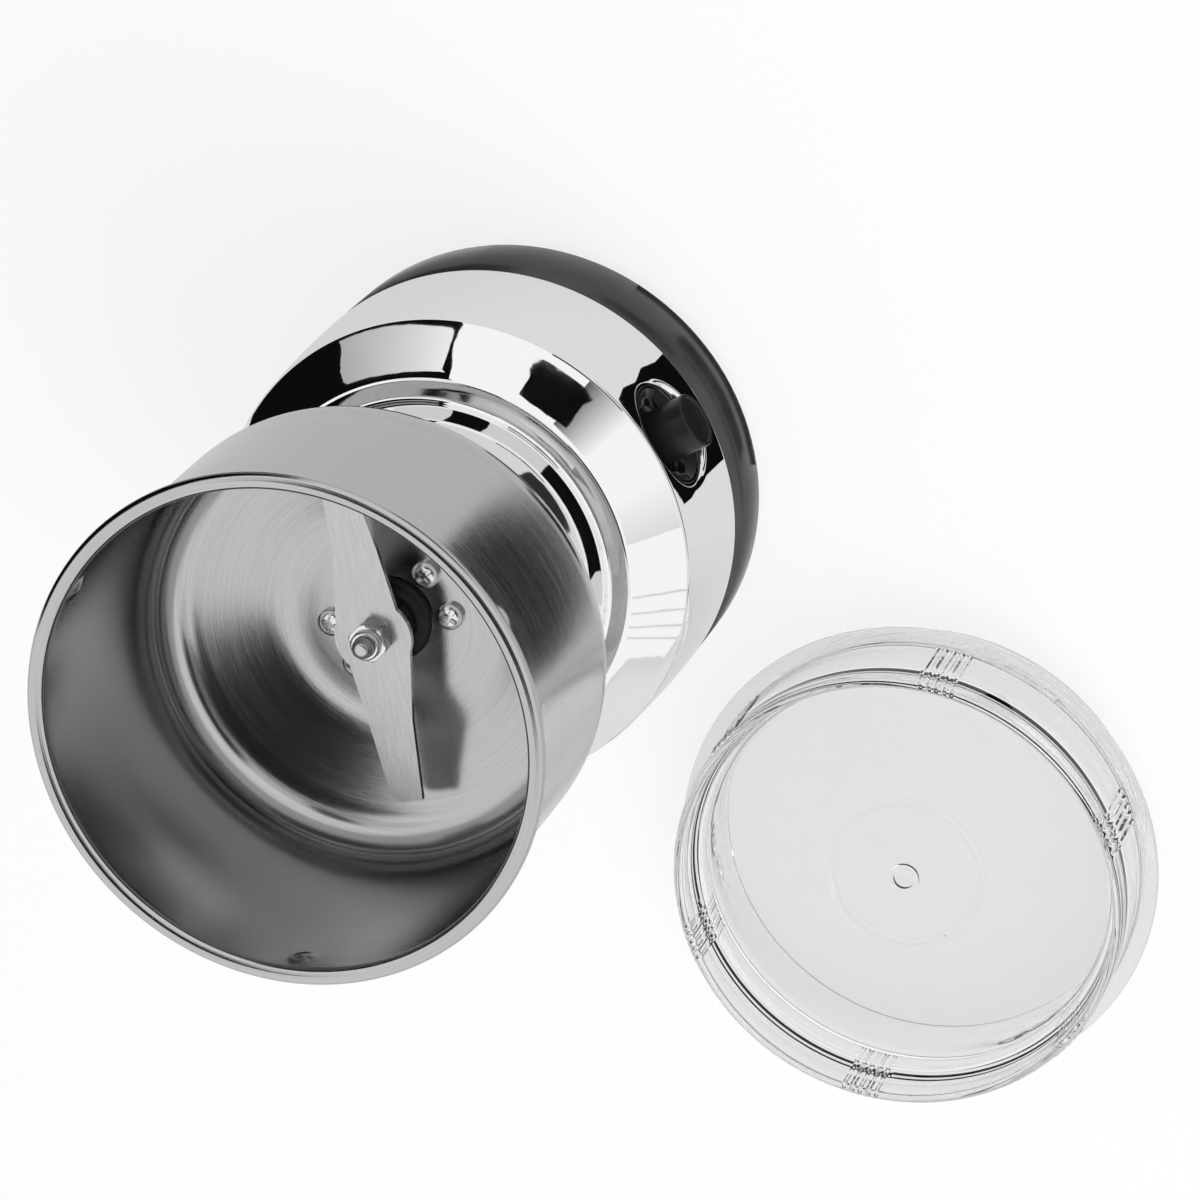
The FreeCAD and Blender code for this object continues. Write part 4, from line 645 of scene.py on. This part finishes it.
def screw_grid(across, along, turn):
    """A domed head with a cross: height falls by the recess's depth inside two crossing bars."""
    section = rounded(
        [
            (0, screw_seat + head_high, 0),
            (1.9, screw_seat + head_high - 0.1, 1.5),
            (head_wide, screw_seat + head_high - 0.6, 0.4),
            (head_wide, screw_seat, 0.05),
            (shank_wide, screw_seat, 0),
            (shank_wide, screw_tip, 0.3),
            (0, screw_tip, 0),
        ],
        step=0.14,
    )
    section = section[np.r_[True, np.abs(np.diff(section, axis=0)).sum(1) > 1e-6]]
    keep = (section[:, 1] > screw_seat - 0.2) | (np.arange(len(section)) % 12 == 0)
    keep[-1] = True
    section = section[keep]
    angle = whole_turn(112)[None]
    radius, height = section[:, :1] + 0 * angle, section[:, 1:] + 0 * angle
    x, y = radius * np.sin(angle), radius * np.cos(angle)

    def inside(value, limit, soft):
        return np.clip((limit - np.abs(value)) / soft, 0, 1)

    def bar(thin, long):
        return inside(thin, cross_half, 0.1) * inside(long, cross_reach, 0.4)

    bars = np.maximum(bar(x, y), bar(y, x))
    height = np.where(height > screw_seat + 0.7, height - cross_deep * bars, height)
    return ring_points(radius, height, angle + turn) + np.array([across, along, 0]) * mm, False, True


screw_turns = iter((0.5, 1.1, 0.25, 0.8))
screw_sheets = [
    screw_grid(side * screw_across, end * screw_along, next(screw_turns))
    for side in (-1, 1)
    for end in (-1, 1)
]
stand_for(joined("cup_floor_screws", screw_sheets, 30), "cup_screws", plated)

# Shaft seal, spacer and shaft
# A black moulded bush stands in the cup floor, a ground collar carries the blade above it, and the
# shaft's threaded end comes up through the nut to a domed tip.
stand_for(copy_of("shaft_seal", "shaft_seal_bush"), "shaft_seal", cap_black)
ground = Finish("ground_steel", grey(0.6), Metallic=1.0, Roughness=0.25)
ground.drive("Roughness", ground.effect("turned_grain", Lines=6000.0, Low=0.18, High=0.34))
ground.bump(ground.effect("turned_grain", Lines=9000.0), 0.01 * mm)
stand_for(copy_of("blade_spacer", "blade_collar"), "blade_spacer", ground)
shaft_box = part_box("motor_shaft")
shaft_top = shaft_box[1][2] / mm
shaft_low = shaft_box[0][2] / mm
blade_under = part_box("blade")[0][2] / mm
thread_wide = 2.1
thread_pitch = 0.7
thread_deep = 0.16
shaft_section = rounded(
    [
        (0, shaft_low, 0),
        (3.0, shaft_low, 0.3),
        (3.0, blade_under, 0.05),
        (thread_wide, blade_under, 0),
        (thread_wide, shaft_top - 1.1, 0.3),
        (1.25, shaft_top, 0.8),
        (0, shaft_top, 0),
    ],
    step=0.11,
)


def cut_thread(radius, height, angle):
    """A helical groove: its depth follows a triangle wave of height / pitch - turns."""
    phase = (height / thread_pitch - angle / (2 * math.pi)) % 1
    groove = np.abs(2 * phase - 1) * thread_deep
    on_thread = (radius > thread_wide - 0.01) & (height > blade_under + 0.3) & (radius < 2.5)
    return np.where(on_thread, radius - groove, radius), height


plain = (shaft_section[:, 1] > blade_under - 0.5) | (np.arange(len(shaft_section)) % 20 == 0)
plain[0] = True
stand_for(
    turned("shaft_with_thread", shaft_section[plain], whole_turn(64), shift=cut_thread, sharp=50),
    "motor_shaft",
    ground,
)

# Blade and nut
# The blade is ground stainless plate with two tapering wings. A plated locking nut, with chamfered
# corners and a round collar, holds it down on the collar.
blade_turn = math.radians(-19)
blade_steel = Finish("ground_blade_steel", grey(0.6), Metallic=1.0, Roughness=0.24)
strokes = blade_steel.stretch((260, 5200, 260), blade_turn)
blade_steel.drive("Roughness", blade_steel.effect("mottle", Vector=strokes, Scale=1.0, Low=0.2, High=0.3))
blade_steel.tint(grey(0.53), grey(0.6), blade_steel.effect("mottle", Vector=strokes, Scale=0.6))
blade_steel.bump(blade_steel.effect("mottle", Vector=strokes, Scale=1.3), 0.005 * mm)
stand_for(copy_of("blade", "blade_plate", sharp=25, bevel=0.12), "blade", blade_steel)
stand_for(copy_of("blade_nut", "locking_nut", sharp=25, bevel=0.1), "blade_nut", plated)

# Lid
# One clear moulding: a skirt that enters the cup, a flange that rests on its rim, and an upper wall
# with six groups of five grip ribs round a sunk plate. Sloping ribs on the skirt lock under the dimples.
lid_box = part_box("lid")
lid_middle = (lid_box[0] + lid_box[1]) / 2
lid_high = lid_box[1][2] / mm
flange_wide = (lid_box[1][0] - lid_box[0][0]) / 2 / mm
upper_wide = 46.9
lid_wall = 1.9
skirt_high = 12.0
flange_top = 13.6
plate_high = lid_high - 8.1
grip_turn = math.radians(20 + 90)
grip_pitch = 1.75
grip_tall = 0.45


def make_lid():
    dish = plate_high - 1.0
    section = rounded(
        [
            (44.0, 1.0, 0),
            (43.95, 0.0, 0.75),
            (45.75, 0.0, 0.9),
            (46.25, skirt_high, 0.3),
            (flange_wide, skirt_high, 0.5),
            (flange_wide, flange_top, 0.5),
            (upper_wide, flange_top, 0.4),
            (upper_wide, lid_high, 0.8),
            (45.0, lid_high, 0.8),
            (45.0, plate_high, 3.0),
            (40.0, plate_high - 0.15, 8.0),
            (16.4, dish, 0.4),
            (16.0, dish + 0.7, 0.25),
            (15.0, dish + 0.7, 0.25),
            (14.6, dish - 0.1, 0.3),
            (3.1, dish - 0.1, 0.1),
            (3.1, dish + 0.9, 0.2),
            (2.2, dish + 0.9, 0.2),
            (2.2, dish - 0.2, 0.1),
            (0, dish - 0.2, 0),
            (0, dish - lid_wall, 0),
            (15.5, dish - lid_wall, 2.0),
            (42.0, plate_high - lid_wall, 2.0),
            (45.0, plate_high - lid_wall, 1.5),
            (45.0, skirt_high, 0.5),
        ],
        closed=True,
        step=1.8,
        arc_step=14,
    )
    group_centres = grip_turn + np.radians(60) * np.arange(6)
    fine = np.linspace(-5.6, 5.6, 49) / upper_wide
    coarse = np.linspace(fine[-1], np.radians(60) + fine[0], 28)[1:-1]
    angles = (group_centres[:, None] + np.concatenate([fine, coarse])[None]).ravel()

    def mould(radius, height, angle):
        """Grip ribs are half rounds on the upper wall. A locking rib slopes down by 5 mm in 30 degrees."""
        away = (angle - grip_turn + np.radians(30)) % np.radians(60) - np.radians(30)
        steps = away * upper_wide / grip_pitch
        near = np.abs(steps - np.clip(np.round(steps), -2, 2)) * grip_pitch
        fade = np.clip((lid_high - 0.2 - height) / 1.2, 0, 1) * np.clip((height - flange_top) / 0.3, 0, 1)
        outside = (radius > upper_wide - 0.9) & (height > flange_top - 0.01)
        grip = np.sqrt(np.clip(1 - (near / grip_tall) ** 2, 0, None)) * grip_tall * fade
        third = np.radians(120)
        turned_by = (angle - grip_turn - np.radians(30)) % third
        along_rib = turned_by / np.radians(30)
        rib_high = 9.3 - 5.0 * along_rib
        rise = np.clip(1.25 - np.abs(height - rib_high) / 0.6, 0, 1) * np.clip(along_rib / 0.04, 0, 1)
        rise = rise * np.clip((1 - along_rib) / 0.04, 0, 1)
        on_skirt = (radius > 45.3) & (height < skirt_high - 0.4) & (radius < 46.5)
        return radius + np.where(outside, grip, 0) + np.where(on_skirt, rise * 0.5, 0), height

    def beside(points):
        return points + np.array([lid_middle[0], lid_middle[1], 0])

    return turned("clear_lid", section, angles, closed=True, shift=mould, finish_points=beside)


clear = Finish("clear_moulding", grey(0.985), Roughness=0.02, IOR=1.42, Transmission_Weight=1.0)
clear.drive("Roughness", clear.effect("mottle", Scale=40.0, Low=0.0, High=0.03))
clear.bump(clear.effect("mottle", Scale=30.0), 0.03 * mm)
stand_for(make_lid(), "lid", clear)

# Studio
# A pale floor that the camera sees as white, a white surround and one large soft lamp. Dark and grey
# cards, which only the bright metal mirrors, give the chrome and the steel their patches.


def seen_by(tree, *kinds):
    """1 for rays of the given kinds, 0 for the rest."""
    path = tree.nodes.new("ShaderNodeLightPath")
    seen = path.outputs[kinds[0]]
    for kind in kinds[1:]:
        seen = sum_node(tree, "MAXIMUM", seen, path.outputs[kind])
    return seen


def flat_piece(name, corners):
    """One face between corners given in metres, not attached to any body."""
    mesh = bpy.data.meshes.new(name)
    mesh.from_pydata(corners, [], [tuple(range(len(corners)))])
    piece = bpy.data.objects.new(name, mesh)
    bpy.context.scene.collection.objects.link(piece)
    return piece


floor_dimming = 0.25
floor_share = 0.8
pale = Finish("pale_floor", grey(0.85), Roughness=0.9)
white = pale.tree.nodes.new("ShaderNodeEmission")
mirrored = sum_node(pale.tree, "MULTIPLY", seen_by(pale.tree, "Is Glossy Ray"), floor_dimming)
pale.tree.links.new(sum_node(pale.tree, "SUBTRACT", 1.0, mirrored), white.inputs["Strength"])
floor_mix = pale.tree.nodes.new("ShaderNodeMixShader")
seen = seen_by(pale.tree, "Is Camera Ray", "Is Glossy Ray", "Is Transmission Ray")
pale.tree.links.new(sum_node(pale.tree, "MULTIPLY", seen, floor_share), floor_mix.inputs[0])
pale.tree.links.new(pale.shader.outputs[0], floor_mix.inputs[1])
pale.tree.links.new(white.outputs[0], floor_mix.inputs[2])
pale.tree.links.new(floor_mix.outputs[0], pale.tree.nodes["Material Output"].inputs["Surface"])
dress(flat_piece("floor", [(-4, -4, 0), (4, -4, 0), (4, 4, 0), (-4, 4, 0)]), pale)

paper = Finish("card_paper", grey(0.0))
paper_level = paper.tree.nodes.new("ShaderNodeAttribute")
paper_level.attribute_name = "level"
paper_light = paper.tree.nodes.new("ShaderNodeEmission")
paper.tree.links.new(paper_level.outputs["Fac"], paper_light.inputs["Strength"])
paper.tree.links.new(paper_light.outputs[0], paper.tree.nodes["Material Output"].inputs["Surface"])


def card(name, corners, levels):
    """A card that only mirrors see. It has one level of grey, or one for each corner."""
    piece = dress(flat_piece(name, [tuple(part * mm for part in corner) for corner in corners]), paper)
    levels = np.broadcast_to(np.array(levels, float), len(corners)).tolist()
    piece.data.attributes.new("level", "FLOAT", "POINT").data.foreach_set("value", levels)
    for kind in ("camera", "diffuse", "transmission", "shadow"):
        setattr(piece, "visible_" + kind, False)


def lying(height, corners):
    return [(x, y, height) for x, y in corners]


def standing(azimuth, away, corners):
    """Corners (sideways, height) on an upright plane at a distance from the axis, in one direction."""
    turn = math.radians(azimuth)
    across, along = math.cos(turn), math.sin(turn)
    return [(away * across - side * along, away * along + side * across, high) for side, high in corners]


black = 0.004
light_grey = 0.72
flag_edge = [(150, 0), (-205, 0), (-210, 90), (-201, 103), (-212, 112), (-210, 230), (150, 230)]
card("left_flag", standing(25, 200, flag_edge), black)
window_edge = [(-31, 47), (-33, 54), (-28, 58), (-35, 67), (-77, 81), (-152, 101), (-194, 112)]
window_edge += [(-186, 105), (-192, 98), (-186, 91), (-150, 80), (-121, 71), (-76, 58)]
window_levels = [0.44 + 0.5 * (-side - 30) / 165 for side, high in window_edge]
card("left_window", standing(25, 196, window_edge), window_levels)
front_edge = [(66, 150), (64, 145), (75, 141), (58, 138), (-37, 142)]
front_edge += [(-77, 147), (-65, 150), (-76, 158), (-15, 159), (36, 156)]
card("front_flag", standing(-59, 350, front_edge), black)
card("front_low_flag", standing(-65, 330, [(80, 5), (-90, 5), (-90, 90), (80, 100)]), 0.01)
card("front_ramp", standing(-80, 362, [(90, 120), (-30, 120), (-30, 175), (90, 175)]), [0.1, 1.0, 1.0, 0.1])
card("right_ramp", standing(-112, 340, [(40, 90), (-62, 80), (-62, 160), (40, 170)]), [1.0, 0.78, 0.78, 1.0])
for azimuth in (-142, -148, -153, -157):
    strip = [(2, 30), (-2, 30), (-2, 130), (2, 130)]
    card("right_streak_%d" % -azimuth, standing(azimuth, 300, strip), light_grey)
button_flag = [(19, -80), (20, -75), (17, -71), (18, -66), (15, -62), (14, -57), (0, -58.5)]
button_flag += [(-20, -55.5), (-26, -64), (-31, -67), (-33, -70), (-26, -76), (-22, -82), (8, -86)]
card("button_flag", lying(1, button_flag), black)
cup_flag = [(48, -114), (43, -106), (31, -101), (12, -98), (-18, -95), (-47, -85), (-62, -81)]
cup_flag += [(-74, -84), (-80, -92), (-58, -120), (-24, -134), (10, -138), (38, -128)]
card("cup_flag", lying(1, cup_flag), 0.03)
card("ceiling_flag", lying(800, [(233, 196), (320, -91), (-216, -253), (-303, 34)]), 0.02)


def sector(height, near, far, first, last):
    """A ring sector round the axis between two distances and two directions."""
    turn = np.radians(np.linspace(first, last, 13))
    inner = [(near * math.cos(angle), near * math.sin(angle)) for angle in turn]
    outer = [(far * math.cos(angle), far * math.sin(angle)) for angle in turn[::-1]]
    return lying(height, inner + outer)


card("neck_screen", sector(604, 310, 430, 20, -165), light_grey)
card("ledge_light_screen", sector(604, 222, 258, 20, -92), light_grey)
card("base_flag", sector(1, 50.8, 54, -60, -114), black)
card("camera_flag", sector(900, 120, 480, 0, -150), 0.02)
card("ledge_screen", sector(602, 218, 262, -92, -152), 0.28)
card("neck_flag_right", sector(600, 300, 440, -77, -145), black)
card("neck_flag_left", sector(600, 300, 440, -14, -36), black)

world = bpy.data.worlds.new("white_surround")
bpy.context.scene.world = world
world.use_nodes = True
surround = world.node_tree.nodes["Background"]
surround.inputs["Color"].default_value = (1, 1, 1, 1)
direct = seen_by(world.node_tree, "Is Camera Ray", "Is Glossy Ray", "Is Transmission Ray")
light_on_object = 0.65
rest_of_white = sum_node(world.node_tree, "MULTIPLY", direct, 0.35)
world_level = sum_node(world.node_tree, "ADD", rest_of_white, light_on_object)
world.node_tree.links.new(world_level, surround.inputs["Strength"])

lamp_data = bpy.data.lights.new("overhead_softbox", "AREA")
lamp_data.shape = "RECTANGLE"
lamp_data.size = 0.9
lamp_data.size_y = 0.6
lamp_data.energy = 9
lamp = bpy.data.objects.new("overhead_softbox", lamp_data)
bpy.context.scene.collection.objects.link(lamp)
lamp.location = (-0.5, -0.3, 1.1)
lamp.rotation_euler = (math.radians(15), math.radians(-24), 0)
lamp.visible_glossy = False

# Camera
# It looks down into the cup from the front, rolled so that the grinder leans as in the photograph.
camera_data = bpy.data.cameras.new("camera")
camera_data.lens = 150
camera_data.sensor_width = 36
camera_data.clip_start = 0.05
camera_data.clip_end = 30
camera = bpy.data.objects.new("camera", camera_data)
bpy.context.scene.collection.objects.link(camera)
camera_place = (0.1375, -0.4373, 0.9415)
camera_right = (-0.50244, -0.81450, -0.29006)
camera_up = (0.84963, -0.40295, -0.34021)
camera_back = (0.16022, -0.41738, 0.89450)
axes = zip(camera_right, camera_up, camera_back)
rows = [(*row, place) for row, place in zip(axes, camera_place)]
camera.matrix_world = Matrix(rows + [(0, 0, 0, 1)])
bpy.context.scene.camera = camera
bpy.context.scene.view_settings.view_transform = "Standard"
